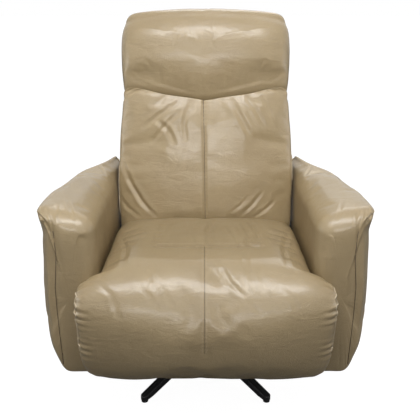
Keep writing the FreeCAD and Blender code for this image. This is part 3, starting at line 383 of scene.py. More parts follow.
@dataclass(frozen=True)
class PowderFinish:
    """Matt black powder coat with its fine orange peel and scattered wear."""

    name: str = "black_powder_coat"
    colour: Triple = (0.017, 0.017, 0.018)
    roughness: float = 0.46

    def make(self) -> bpy.types.Material:
        """Build the material."""
        s = Shader(self.name)
        peel = s.noise(620.0, 3.0, 0.6)
        dust = s.noise(11.0, 5.0, 0.65)
        worn = dust.above(0.55, 0.8)
        base = s.blend_colours(worn * 0.5, tone(self.colour), tone(self.colour, 2.4))
        return s.surface(Base_Color=base, Roughness=self.roughness + worn * 0.12 + peel * 0.06,
                         Normal=s.bump(peel, 0.0003, 0.5), Coat_Weight=0.08)


@dataclass(frozen=True)
class SteelFinish:
    """Plain ground steel with turning marks."""

    name: str = "ground_steel"
    colour: Triple = (0.52, 0.52, 0.53)

    def make(self) -> bpy.types.Material:
        """Build the material."""
        s = Shader(self.name)
        marks = s.noise(60.0, 3.0, 0.6, s.stretched((30.0, 1.0, 1.0)))
        spots = s.noise(30.0, 4.0)
        base = s.blend_colours(spots.above(0.5, 0.8) * 0.5, tone(self.colour),
                               tone(self.colour, 0.55))
        return s.surface(Base_Color=base, Metallic=1.0, Roughness=0.28 + marks * 0.2,
                         Normal=s.bump(marks, 0.0001, 0.4))


@dataclass(frozen=True)
class PlasticFinish:
    """Moulded black plastic with a fine spark texture."""

    name: str = "moulded_plastic"
    colour: Triple = (0.028, 0.028, 0.030)

    def make(self) -> bpy.types.Material:
        """Build the material."""
        s = Shader(self.name)
        spark = s.noise(900.0, 2.0)
        scuff = s.noise(18.0, 5.0, 0.7).above(0.55, 0.8)
        base = s.blend_colours(scuff * 0.4, tone(self.colour), tone(self.colour, 2.0))
        return s.surface(Base_Color=base, Roughness=0.5 + scuff * 0.15,
                         Normal=s.bump(spark, 0.0002, 0.4))


@dataclass(frozen=True)
class TimberFinish:
    """Sawn timber or plywood with rings and fibres."""

    name: str = "sawn_timber"
    colour: Triple = (0.50, 0.355, 0.205)
    ring: Triple = (0.30, 0.185, 0.090)

    def make(self) -> bpy.types.Material:
        """Build the material."""
        s = Shader(self.name)
        where = s.stretched((1.0, 0.16, 1.0))
        rings = s.node("ShaderNodeTexWave", {"wave_type": "RINGS", "rings_direction": "Y"},
                       {"Vector": where, "Scale": 26.0, "Distortion": 5.0, "Detail": 3.0,
                        "Detail Scale": 1.6}, "Fac")
        fibres = s.noise(240.0, 3.0, 0.6, s.stretched((1.0, 0.05, 1.0)))
        base = s.blend_colours(rings.above(0.35, 0.95) * 0.6, tone(self.colour), tone(self.ring))
        base = s.blend_colours(fibres * 0.25, base, tone(self.ring, 0.8))
        return s.surface(Base_Color=base, Roughness=0.72 + fibres * 0.1,
                         Normal=s.bump(fibres * 0.7 + rings * 0.3, 0.0005, 0.5))


@dataclass(frozen=True)
class WovenFinish:
    """Woven elastic strap or lining cloth: two crossing sets of threads."""

    name: str
    colour: Triple
    pitch: float = 420.0

    def make(self) -> bpy.types.Material:
        """Build the material."""
        s = Shader(self.name)
        across, along, upright = (s.bands(direction, self.pitch) for direction in "XYZ")
        weave = across * along + along * upright * 0.5
        fuzz = s.noise(160.0, 3.0)
        base = s.blend_colours(weave * 0.6, tone(self.colour, 0.6), tone(self.colour, 1.3))
        base = s.blend_colours(fuzz * 0.3, base, tone(self.colour, 0.8))
        return s.surface(Base_Color=base, Roughness=0.85, Normal=s.bump(weave, 0.0006, 0.6))


class Finish(Enum):
    """Every finish of the chair."""

    LEATHER = LeatherFinish()
    LEATHER_REAR = LeatherFinish("tan_leather_rear", (0.335, 0.252, 0.140),
                                 (0.252, 0.182, 0.097), 0.28, 0.30)
    PIPING = SeamFinish("leather_piping", (0.52, 0.43, 0.30), 0.42, 300.0)
    # Near-black cord laid in the seam channels; its colour is painted shade of the grooves.
    DARK_SEAM = SeamFinish("dark_seam", (0.085, 0.058, 0.032), 0.6)
    THREAD = SeamFinish("sewing_thread", (0.43, 0.34, 0.23), 0.55)
    POWDER = PowderFinish()
    STEEL = SteelFinish()
    PLASTIC = PlasticFinish()
    TIMBER = TimberFinish()
    WEBBING = WovenFinish("elastic_webbing", (0.115, 0.105, 0.095))
    LINING = WovenFinish("dust_lining", (0.032, 0.032, 0.034), 700.0)


class Workshop:
    """Keeps the finished materials, so that each is built once."""

    def __init__(self) -> None:
        """Start with none."""
        self._made: dict[str, bpy.types.Material] = {}

    def material(self, finish: Finish) -> bpy.types.Material:
        """Return the material of a finish."""
        if finish.name not in self._made:
            self._made[finish.name] = finish.value.make()
        return self._made[finish.name]


SHOP = Workshop()


# ---------------------------------------------------------------------------------------------
# Mesh helpers
# ---------------------------------------------------------------------------------------------


SPLINE_STEPS = 24  # points between two control points of a closed spline
OUTLINE_STEPS = 240  # points of half a boxy oval, before they are spread evenly
MERGE_DISTANCE = 2e-5  # vertices closer than this become one, in metres


def hermite(t: np.ndarray, start: np.ndarray, leave: np.ndarray, end: np.ndarray,
            arrive: np.ndarray) -> np.ndarray:
    """Read a cubic between two values at shares t, with its slopes at the start and the end."""
    t2, t3 = t * t, t * t * t
    return ((2 * t3 - 3 * t2 + 1) * start + (t3 - 2 * t2 + t) * leave
            + (3 * t2 - 2 * t3) * end + (t3 - t2) * arrive)


def smooth_curve(at: np.ndarray | float, knots: Sequence[float],
                 values: Sequence[float]) -> np.ndarray:
    """Read a smooth curve through knots.

    Args:
        at: Where to read it.
        knots: Rising positions.
        values: The value at each.

    Returns:
        The values at the asked places.
    """
    x, y = np.asarray(knots, float), np.asarray(values, float)
    at = np.clip(at, x[0], x[-1])
    slope = np.diff(y) / np.diff(x)
    tangent = np.empty_like(y)
    tangent[0], tangent[-1] = slope[0], slope[-1]
    same = slope[:-1] * slope[1:] > 0
    total = slope[:-1] + slope[1:]
    safe = np.where(np.abs(total) > 1e-12, total, 1.0)
    tangent[1:-1] = np.where(same, 2 * slope[:-1] * slope[1:] / safe, 0.0)
    index = np.clip(np.searchsorted(x, at, side="right") - 1, 0, len(x) - 2)
    width = x[index + 1] - x[index]
    return hermite((at - x[index]) / width, y[index], width * tangent[index],
                   y[index + 1], width * tangent[index + 1])


def smooth_step(low: float, high: float, value: np.ndarray | float) -> np.ndarray:
    """Rise smoothly from 0 at low to 1 at high."""
    t = np.clip((value - low) / (high - low), 0.0, 1.0)
    return t * t * (3 - 2 * t)


def rounding(near: float, reach: float, least: float = 0.0) -> float:
    """Return the share that a rounded end leaves of a thickness.

    Args:
        near: Distance from the end.
        reach: Distance at which the full thickness is reached.
        least: Smallest square of the share.

    Returns:
        The share, up to 1.
    """
    return math.sqrt(max(1 - (1 - min(near, reach) / reach) ** 2, least))


def resample(points: np.ndarray, count: int) -> np.ndarray:
    """Place points evenly along a line, both ends included."""
    steps = np.linalg.norm(np.diff(points, axis=0), axis=1)
    along = np.concatenate(([0.0], np.cumsum(steps)))
    at = np.linspace(0.0, along[-1], count)
    return np.stack([np.interp(at, along, points[:, k]) for k in range(points.shape[1])], axis=1)


def closed_spline(control: Sequence[Point], count: int) -> np.ndarray:
    """Return an even ring of points along a closed smooth curve through control points."""
    pts = np.asarray(control, float)
    ring = []
    for index in range(len(pts)):
        p0, p1, p2, p3 = (pts[(index + k - 1) % len(pts)] for k in range(4))
        r0, r1, r2 = (math.sqrt(math.dist(a, b)) for a, b in ((p0, p1), (p1, p2), (p2, p3)))
        leave = ((p1 - p0) / r0 - (p2 - p0) / (r0 + r1) + (p2 - p1) / r1) * r1
        arrive = ((p2 - p1) / r1 - (p3 - p1) / (r1 + r2) + (p3 - p2) / r2) * r1
        t = np.linspace(0, 1, SPLINE_STEPS, endpoint=False)[:, None]
        ring.append(hermite(t, p1, leave, p2, arrive))
    whole = np.concatenate(ring)
    whole = np.concatenate((whole, whole[:1]))
    return resample(whole, count + 1)[:-1]


def rounded_ring(half: float, front: float, rear: float, front_corner: float,
                 rear_corner: float, count: int) -> np.ndarray:
    """Return a boxy oval of even points, front towards -Y, that starts at +X.

    Args:
        half: Half width.
        front: Depth towards the front.
        rear: Depth towards the rear.
        front_corner: How boxy the front corners are.
        rear_corner: How boxy the rear corners are.
        count: Even number of points.

    Returns:
        Array of shape (count, 2).
    """
    halves = []
    for depth, corner, sign in ((rear, rear_corner, 1.0), (front, front_corner, -1.0)):
        angle = np.linspace(0.0, math.pi, OUTLINE_STEPS)
        x = np.sign(np.cos(angle)) * np.abs(np.cos(angle)) ** (2 / corner) * half
        y = np.abs(np.sin(angle)) ** (2 / corner) * depth
        line = resample(np.stack((x, y), axis=1), count // 2 + 1)
        if sign < 0:
            line = line[::-1] * np.array((1.0, -1.0))
        halves.append(line[:-1])
    return np.concatenate(halves)


def ring_mesh(name: str, rings: np.ndarray) -> bpy.types.Object:
    """Skin a stack of closed rings and zip both ends shut.

    Args:
        name: The piece's name.
        rings: Array of shape (rings, points, 3), in metres.

    Returns:
        The new object, with its faces pointing outwards.
    """
    rows, count, _ = rings.shape
    index = np.arange(rows * count).reshape(rows, count)
    right = np.roll(index, -1, axis=1)
    faces = np.stack((index[:-1], right[:-1], right[1:], index[1:]), axis=-1)
    faces = faces.reshape(-1, 4).tolist()
    for row in (0, rows - 1):
        for k in range(count // 2):
            corners = index[row, [k, k + 1, count - k - 1, (count - k) % count]]
            faces.append(list(dict.fromkeys(corners.tolist())))
    faces = [face for face in faces if len(face) > 2]
    mesh = bpy.data.meshes.new(name)
    mesh.from_pydata(rings.reshape(-1, 3).tolist(), [], faces)
    work = bmesh.new()
    work.from_mesh(mesh)
    bmesh.ops.remove_doubles(work, verts=work.verts, dist=MERGE_DISTANCE)
    bmesh.ops.recalc_face_normals(work, faces=work.faces)
    if work.calc_volume(signed=True) < 0:
        bmesh.ops.reverse_faces(work, faces=work.faces)
    work.to_mesh(mesh)
    work.free()
    piece = bpy.data.objects.new(name, mesh)
    bpy.context.scene.collection.objects.link(piece)
    return piece


def read_points(piece: bpy.types.Object, what: str = "co") -> np.ndarray:
    """Return the places of a piece's vertices, or another vector of theirs, as an array."""
    values = np.empty(len(piece.data.vertices) * 3, np.float32)
    piece.data.vertices.foreach_get(what, values)
    return values.reshape(-1, 3).astype(float)


def write_points(piece: bpy.types.Object, points: np.ndarray) -> None:
    """Give a piece's vertices new places."""
    piece.data.vertices.foreach_set("co", points.astype(np.float32).ravel())
    piece.data.update()


def subdivide(piece: bpy.types.Object) -> None:
    """Subdivide a piece once, for good."""
    modifier = piece.modifiers.new("finer", "SUBSURF")
    modifier.levels = modifier.render_levels = 1
    bake(piece)


def bake(piece: bpy.types.Object) -> None:
    """Replace a piece's mesh by its evaluated one and drop the modifiers."""
    graph = bpy.context.evaluated_depsgraph_get()
    mesh = bpy.data.meshes.new_from_object(
        piece.evaluated_get(graph), preserve_all_data_layers=True, depsgraph=graph)
    piece.modifiers.clear()
    old, piece.data = piece.data, mesh
    mesh.name = piece.name
    if old.users == 0:
        bpy.data.meshes.remove(old)


def shade_smooth(piece: bpy.types.Object) -> None:
    """Shade every face smoothly."""
    piece.data.polygons.foreach_set("use_smooth", [True] * len(piece.data.polygons))


def dress(piece: bpy.types.Object, finish: Finish) -> None:
    """Give a piece one finish."""
    piece.data.materials.clear()
    piece.data.materials.append(SHOP.material(finish))


def waves(points: np.ndarray, length: float, seed: int) -> np.ndarray:
    """Return a smooth irregular field of about -1 to 1, the same on every run.

    Args:
        points: Where to read it.
        length: Typical wavelength in metres.
        seed: Which field.

    Returns:
        One value for each point.
    """
    count, shortest, longest, peak = 9, 0.6, 1.7, 1.3
    rng = np.random.default_rng(seed)
    total = np.zeros(len(points))
    for _ in range(count):
        direction = rng.normal(size=3)
        direction /= np.linalg.norm(direction)
        step = 2 * math.pi / (length * rng.uniform(shortest, longest))
        total += np.sin(points @ direction * step + rng.uniform(0, 2 * math.pi))
    return total / math.sqrt(count) / peak


# ---------------------------------------------------------------------------------------------
# Folds, seams and filling of the soft pieces
# ---------------------------------------------------------------------------------------------


@dataclass(frozen=True)
class Mark:
    """A line of the front view's frame along which a cover sinks.

    Attributes:
        line: Its run, as columns and rows of the frame.
    """

    line: tuple[Point, ...]

    def mirrored(self) -> "Mark":
        """Return the mark on the chair's other side."""
        return replace(self, line=VIEW.mirror(self.line))

    def nearest(self, frame: np.ndarray) -> tuple[np.ndarray, np.ndarray, float]:
        """Find the nearest place of the line for points of the frame.

        Args:
            frame: Columns and rows of the points.

        Returns:
            How far each point is from the line, how far along the line its nearest place is, and
            the line's length, all in pixels.
        """
        run = np.asarray(self.line, float)
        lengths = np.linalg.norm(np.diff(run, axis=0), axis=1)
        starts = np.concatenate(([0.0], np.cumsum(lengths)))
        best = np.full(len(frame), math.inf)
        along = np.zeros(len(frame))
        for a, b, start, length in zip(run, run[1:], starts, lengths):
            t = np.clip(((frame - a) @ (b - a)) / length**2, 0, 1)
            away = np.linalg.norm(frame - (a + t[:, None] * (b - a)), axis=1)
            closer = away < best
            best = np.where(closer, away, best)
            along = np.where(closer, start + t * length, along)
        return best, along, float(starts[-1])

    def sink(self, frame: np.ndarray) -> np.ndarray:
        """Return how far each point of the frame sinks, in metres."""
        raise NotImplementedError


@dataclass(frozen=True)
class Fold(Mark):
    """A crease of the leather.

    Attributes:
        width: Half width of the drawn fold in pixels, of which the valley takes a share.
        depth: Depth of the drawn fold in metres, of which the valley takes a share.
        lips: How far the leather beside it swells, as a share of the depth.
    """

    width: float
    depth: float
    lips: float = 0.45

    def sink(self, frame: np.ndarray) -> np.ndarray:
        """Return how far each point of the frame sinks, in metres."""
        width, depth = 0.66 * self.width, 0.62 * self.depth
        lip_place, lip_width = 1.9 * width, 0.9 * width
        away, along, length = self.nearest(frame)
        share = np.clip(along / length * 0.92 + 0.04, 0, 1)
        taper = np.clip(np.sin(np.pi * share), 0, 1) ** 0.7
        valley = np.exp(-((away / width) ** 2))
        lip = np.exp(-(((away - lip_place) / lip_width) ** 2))
        return depth * taper * (valley - self.lips * lip)


@dataclass(frozen=True)
class Seam(Mark):
    """A sewn channel with the pucker of its stitches.

    Attributes:
        width: Half width of the channel in pixels.
        depth: Depth of the channel in metres.
        pucker: Height of the pucker in metres.
    """

    width: float = 1.15
    depth: float = 0.0032
    pucker: float = 0.0007

    def sink(self, frame: np.ndarray) -> np.ndarray:
        """Return how far each point of the frame sinks, in metres."""
        dip, dip_width = 0.315 * self.depth, 5.5 * self.width
        pucker_width, stitch_turn = 2.6 * self.width, 1.55
        away, along, _ = self.nearest(frame)
        channel = self.depth * np.exp(-((away / self.width) ** 2))
        broad = dip * np.exp(-((away / dip_width) ** 2))
        ripple = (self.pucker * np.exp(-((away / pucker_width) ** 2))
                  * np.sin(along * stitch_turn))
        return channel + broad + ripple


FILLING_FRAMES = 18
COVER_CLOTH = {
    "quality": 6, "mass": 0.35, "tension_stiffness": 14.0, "compression_stiffness": 14.0,
    "shear_stiffness": 6.0, "bending_stiffness": 1.5, "air_damping": 2.0, "use_pressure": True}


@dataclass(frozen=True)
class Filling:
    """How a cushion is blown up by its foam.

    Attributes:
        pressure: Outward pressure of the cloth simulation.
        slack: Share by which the cover is larger than the form.
        cap: Furthest that a point may move, in metres.
    """

    pressure: float
    slack: float
    cap: float

    def blow(self, piece: bpy.types.Object, held: np.ndarray) -> None:
        """Simulate the cover over its filling and keep the result.

        Args:
            piece: The cushion, as a closed mesh.
            held: For each vertex, 1 where it is sewn down and 0 where it is free.
        """
        before = read_points(piece)
        group = piece.vertex_groups.new(name="held")
        weights = np.round(held, 1)
        for weight in np.unique(weights):
            group.add(np.nonzero(weights == weight)[0].tolist(), float(weight), "REPLACE")
        modifier = piece.modifiers.new("filling", "CLOTH")
        cloth = modifier.settings
        for key, value in COVER_CLOTH.items():
            setattr(cloth, key, value)
        cloth.uniform_pressure_force = self.pressure
        cloth.shrink_min = -self.slack
        cloth.vertex_group_mass = group.name
        cloth.effector_weights.gravity = 0.0
        modifier.collision_settings.use_collision = False
        scene = bpy.context.scene
        scene.frame_start, scene.frame_end = 1, FILLING_FRAMES
        for frame in range(1, FILLING_FRAMES + 1):
            scene.frame_set(frame)
        graph = bpy.context.evaluated_depsgraph_get()
        after = read_points(piece.evaluated_get(graph))
        piece.modifiers.clear()
        scene.frame_set(1)
        move = after - before
        reach = np.linalg.norm(move, axis=1)
        limit = np.where(reach > self.cap, self.cap / np.maximum(reach, 1e-9), 1.0)
        write_points(piece, before + move * limit[:, None])
        LOG.info("%s: filling moved points by up to %.1f mm", piece.name,
                 min(reach.max(), self.cap) / MM)
        piece.vertex_groups.clear()


class Surface:
    """Finds places on a finished piece."""

    def __init__(self, piece: bpy.types.Object) -> None:
        """Build the search tree of a piece."""
        mesh = piece.data
        points = [vertex.co.copy() for vertex in mesh.vertices]
        self.tree = BVHTree.FromPolygons(points, [tuple(face.vertices) for face in mesh.polygons])

    def seen(self, line: Sequence[Point], step: float = 1.0, lift: float = 0.0) -> list[Vector]:
        """Drop a line of the front view on the piece.

        Args:
            line: Columns and rows of the frame.
            step: Distance between points in pixels.
            lift: How far the points stand off the surface, in metres.

        Returns:
            The points on the piece.
        """
        run = np.asarray(line, float)
        length = np.linalg.norm(np.diff(run, axis=0), axis=1).sum()
        found = []
        for column, row in resample(run, max(3, int(length / step) + 1)):
            place, normal, _, _ = self.tree.ray_cast(Vector(VIEW.place), VIEW.ray(column, row))
            if place is not None:
                found.append(place + normal * lift)
        return found

    def nearest(self, points: Iterable[Vector], lift: float = 0.0) -> list[Vector]:
        """Move points to the nearest place on the piece, lifted off it."""
        found = []
        for point in points:
            place, normal, _, _ = self.tree.find_nearest(Vector(point))
            if place is not None:
                found.append(place + normal * lift)
        return found


# ---------------------------------------------------------------------------------------------
# Geometry Nodes runs: stitches and piping
# ---------------------------------------------------------------------------------------------


class RunTree:
    """A node tree that turns a run of points into trim."""

    def __init__(self, name: str, **sizes: float) -> None:
        """Start a tree with its inputs, and spread points evenly along the run.

        Args:
            name: The tree's name.
            **sizes: The named sizes that it takes, with their defaults; Pitch is one of them.
        """
        self.tree = bpy.data.node_groups.new(name, "GeometryNodeTree")
        self._socket("Geometry", "Geometry")
        self._socket("Geometry", "Geometry", "OUTPUT")
        for size, value in sizes.items():
            self._socket(size, "Float").default_value = value
        self._socket("Material", "Material")
        self.given = self.tree.nodes.new("NodeGroupInput").outputs
        self.exit = self.tree.nodes.new("NodeGroupOutput")
        even = self.add("GeometryNodeResampleCurve", {
            "Curve": self.given["Geometry"], "Length": self.given["Pitch"]}, mode="LENGTH")
        self.run = even.outputs[0]

    def _socket(self, name: str, kind: str,
                way: str = "INPUT") -> bpy.types.NodeTreeInterfaceSocket:
        """Add a socket of a kind to the tree's inputs or outputs."""
        return self.tree.interface.new_socket(name, in_out=way, socket_type=f"NodeSocket{kind}")

    def add(self, kind: str, inputs: dict[object, object], **settings: object) -> bpy.types.Node:
        """Add a node with its settings and its inputs."""
        made = self.tree.nodes.new(kind)
        for key, value in settings.items():
            setattr(made, key, value)
        for key, value in inputs.items():
            if isinstance(value, bpy.types.NodeSocket):
                self.tree.links.new(value, made.inputs[key])
            else:
                made.inputs[key].default_value = value
        return made

    def close(self, geometry: bpy.types.NodeSocket) -> None:
        """Realise, dress and lead the geometry out."""
        real = self.add("GeometryNodeRealizeInstances", {"Geometry": geometry})
        dressed = self.add("GeometryNodeSetMaterial", {
            "Geometry": real.outputs[0], "Material": self.given["Material"]})
        self.tree.links.new(dressed.outputs[0], self.exit.inputs[0])

    def identifier(self, name: str) -> str:
        """Return the identifier of a named input."""
        for item in self.tree.interface.items_tree:
            if item.item_type == "SOCKET" and item.in_out == "INPUT" and item.name == name:
                return item.identifier
        raise KeyError(name)


class TrimKind(Enum):
    """What a run of points becomes."""

    STITCH = "stitch_run"
    PIPING = "piping_run"


class Trimmer:
    """Makes stitches and piping with Geometry Nodes."""

    def __init__(self) -> None:
        """Start with no trees."""
        self._trees: dict[TrimKind, RunTree] = {}

    def _tree(self, kind: TrimKind) -> RunTree:
        """Return the tree of a kind, built on first use."""
        if kind not in self._trees:
            build = self._pipe_tree if kind is TrimKind.PIPING else self._row_tree
            self._trees[kind] = build(kind.value)
        return self._trees[kind]

    @staticmethod
    def _pipe_tree(name: str) -> RunTree:
        """Build the tree of a cord sewn into a seam: a tube with closed ends."""
        made = RunTree(name, Radius=0.002, Pitch=0.004)
        circle = made.add("GeometryNodeCurvePrimitiveCircle",
                          {"Resolution": 10, "Radius": made.given["Radius"]})
        tube = made.add("GeometryNodeCurveToMesh", {
            "Curve": made.run, "Profile Curve": circle.outputs[0], "Fill Caps": True})
        smooth = made.add("GeometryNodeSetShadeSmooth", {"Geometry": tube.outputs[0]})
        made.close(smooth.outputs[0])
        return made

    @staticmethod
    def _row_tree(name: str) -> RunTree:
        """Build the tree of a row of short stitches that lie along the run."""
        made = RunTree(name, Radius=0.0006, Pitch=0.006, Length=0.0042)
        tangent = made.add("GeometryNodeInputTangent", {})
        turn = made.add("FunctionNodeAlignRotationToVector",
                        {"Vector": tangent.outputs[0]}, axis="Z")
        body = made.add("GeometryNodeMeshCylinder", {
            "Vertices": 8, "Side Segments": 3, "Fill Segments": 1,
            "Radius": made.given["Radius"], "Depth": made.given["Length"]})
        placed = made.add("GeometryNodeInstanceOnPoints", {
            "Points": made.run, "Instance": body.outputs["Mesh"], "Rotation": turn.outputs[0]})
        made.close(placed.outputs[0])
        return made

    def make(self, kind: TrimKind, name: str, runs: Sequence[Sequence[Vector]], finish: Finish,
             **sizes: float) -> bpy.types.Object | None:
        """Turn runs of points into one trim piece.

        Args:
            kind: What to make.
            name: The piece's name.
            runs: Lines of points, in metres.
            finish: The trim's finish.
            **sizes: Named sizes of the tree.

        Returns:
            The piece, or None where no run has points.
        """
        curve = bpy.data.curves.new(name + "_line", "CURVE")
        curve.dimensions = "3D"
        for run in runs:
            if len(run) < 2:
                continue
            spline = curve.splines.new("POLY")
            spline.points.add(len(run) - 1)
            spline.points.foreach_set("co", [value for point in run for value in (*point, 1.0)])
        if not curve.splines:
            LOG.warning("%s has no run", name)
            return None
        line = bpy.data.objects.new(name + "_line", curve)
        bpy.context.scene.collection.objects.link(line)
        made = self._tree(kind)
        modifier = line.modifiers.new("trim", "NODES")
        modifier.node_group = made.tree
        for size, value in sizes.items():
            modifier[made.identifier(size)] = value
        modifier[made.identifier("Material")] = SHOP.material(finish)
        graph = bpy.context.evaluated_depsgraph_get()
        mesh = bpy.data.meshes.new_from_object(line.evaluated_get(graph), depsgraph=graph)
        bpy.data.objects.remove(line)
        piece = bpy.data.objects.new(name, mesh)
        bpy.context.scene.collection.objects.link(piece)
        mesh.name = name
        if not mesh.materials:
            mesh.materials.append(SHOP.material(finish))
        return piece


TRIM = Trimmer()


# ---------------------------------------------------------------------------------------------
# Soft pieces
# ---------------------------------------------------------------------------------------------


@dataclass(frozen=True)
class Lean:
    """The leaning frame of the back: its hinge and how far it leans."""

    hinge_y: float = 168.0
    hinge_z: float = 400.0
    angle: float = 10.0

    def place(self, x: np.ndarray, depth: np.ndarray, height: np.ndarray) -> np.ndarray:
        """Turn places of the leaning frame, in millimetres, into metres of the chair."""
        turn = math.radians(self.angle)
        y = self.hinge_y + depth * math.cos(turn) + height * math.sin(turn)
        z = self.hinge_z - depth * math.sin(turn) + height * math.cos(turn)
        return np.stack((x, y, z), axis=-1) * MM

    def back(self, points: np.ndarray) -> np.ndarray:
        """Turn metres of the chair into millimetres of the leaning frame."""
        turn = math.radians(self.angle)
        x, y, z = (points[:, k] / MM for k in range(3))
        y, z = y - self.hinge_y, z - self.hinge_z
        return np.stack((x, y * math.cos(turn) - z * math.sin(turn),
                         y * math.sin(turn) + z * math.cos(turn)), axis=1)


LEAN = Lean()


@dataclass(frozen=True)
class HeadJoint:
    """The double cone round the headrest's hinge that the V seam follows."""

    hinge: float = 487.0
    middle: float = 102.5
    quarter: float = 88.5
    end: float = 64.0
    waist: float = 263.0

    def radius(self, x: np.ndarray) -> np.ndarray:
        """Return the cone's radius at a distance from the middle."""
        half = self.waist / 2
        slope = (self.quarter - self.end) / half
        away = np.abs(x)
        inner = self.middle + (self.quarter - self.middle) * away / half
        outer = self.quarter - slope * (away - half)
        return np.where(away < half, inner, outer)

    def surface(self, x: np.ndarray, depth: np.ndarray, gap: float) -> np.ndarray:
        """Return the height of the cone's lower skin, with a gap added round it."""
        radius = self.radius(x) + gap
        return self.hinge - np.sqrt(np.clip(radius**2 - depth**2, 0.0, None))


JOINT = HeadJoint()


@dataclass(frozen=True)
class Band:
    """One height of an upright cushion.

    Attributes:
        share: From 0 at the bottom to 1 at the top.
        half: Half width in millimetres.
        front: Depth to the front in millimetres.
        rear: Depth to the rear in millimetres.
        corner: How boxy the front corners are.
    """

    share: float
    half: float
    front: float
    rear: float
    corner: float = 4.0


END_SQUEEZE = (0.03, 0.2, 0.4, 0.6, 0.8, 0.93)  # sizes of the rings that close a cushion's end


@dataclass
class Column:
    """An upright cushion in the back's leaning frame, between two shaped ends.

    All lengths are in millimetres.

    Attributes:
        bands: Its widths and depths, from the bottom up.
        bottom: Height of the lower end at places across and deep.
        top: Height of the upper end at places across and deep.
        middle: Depth of its middle.
        rear_corner: How boxy the rear corners are.
        bottom_edge: Radius of the lower edge.
        top_edge: Radius of the upper edge.
        spacing: Distance between points.
        tall: Height between the ends.
        bow: Share by which the front's depth falls off towards the sides.
    """

    bands: tuple[Band, ...]
    bottom: Callable[[np.ndarray, np.ndarray], np.ndarray]
    top: Callable[[np.ndarray, np.ndarray], np.ndarray]
    middle: float = 0.0
    rear_corner: float = 4.0
    bottom_edge: float = 14.0
    top_edge: float = 14.0
    spacing: float = 8.0
    tall: float = 280.0
    bow: float = 0.0

    def rings(self) -> np.ndarray:
        """Return the stack of rings, in metres."""
        thinnest = 3.0
        shares = [band.share for band in self.bands]
        read = {name: [getattr(band, name) for band in self.bands]
                for name in ("half", "front", "rear", "corner")}
        count = 2 * int((2 * max(read["half"]) + 2 * max(read["rear"])) / self.spacing)
        bend = np.linspace(0, math.pi / 2, 5)
        stack = [(0.0, self.bottom_edge, 0.0, squeeze) for squeeze in END_SQUEEZE]
        stack += [(0.0, *self._roll(self.bottom_edge, turn), 1.0) for turn in bend[:0:-1]]
        stack += [(float(share), 0.0, math.nan, 1.0)
                  for share in np.linspace(0.0, 1.0, int(self.tall / self.spacing))]
        stack += [(1.0, *self._roll(self.top_edge, turn), 1.0) for turn in bend[1:]]
        stack += [(1.0, self.top_edge, 0.0, squeeze) for squeeze in END_SQUEEZE[::-1]]
        rings = []
        for share, inset, lift, squeeze in stack:
            half, front, rear, corner = (
                float(smooth_curve(share, shares, values)) for values in read.values())
            ring = rounded_ring(half - inset, max(front - inset, thinnest),
                                max(rear - inset, thinnest), corner, self.rear_corner, count)
            bow = np.where(ring[:, 1] < 0, 1 - self.bow * (ring[:, 0] / half) ** 2, 1.0)
            x = ring[:, 0] * (0.97 + 0.03 * squeeze)
            depth = ring[:, 1] * bow * squeeze + self.middle
            low, high = self.bottom(x, depth), self.top(x, depth)
            if math.isnan(lift):
                low, high = low + self.bottom_edge, high - self.top_edge
                height = low + (high - low) * share
            elif share < 0.5:
                height = low + lift
            else:
                height = high - lift
            rings.append(LEAN.place(x, depth, height))
        return np.array(rings)

    @staticmethod
    def _roll(edge: float, turn: float) -> tuple[float, float]:
        """Return how far a rounded edge is set in and stands off its end at a turn."""
        return edge * (1 - math.cos(turn)), edge * (1 - math.sin(turn))


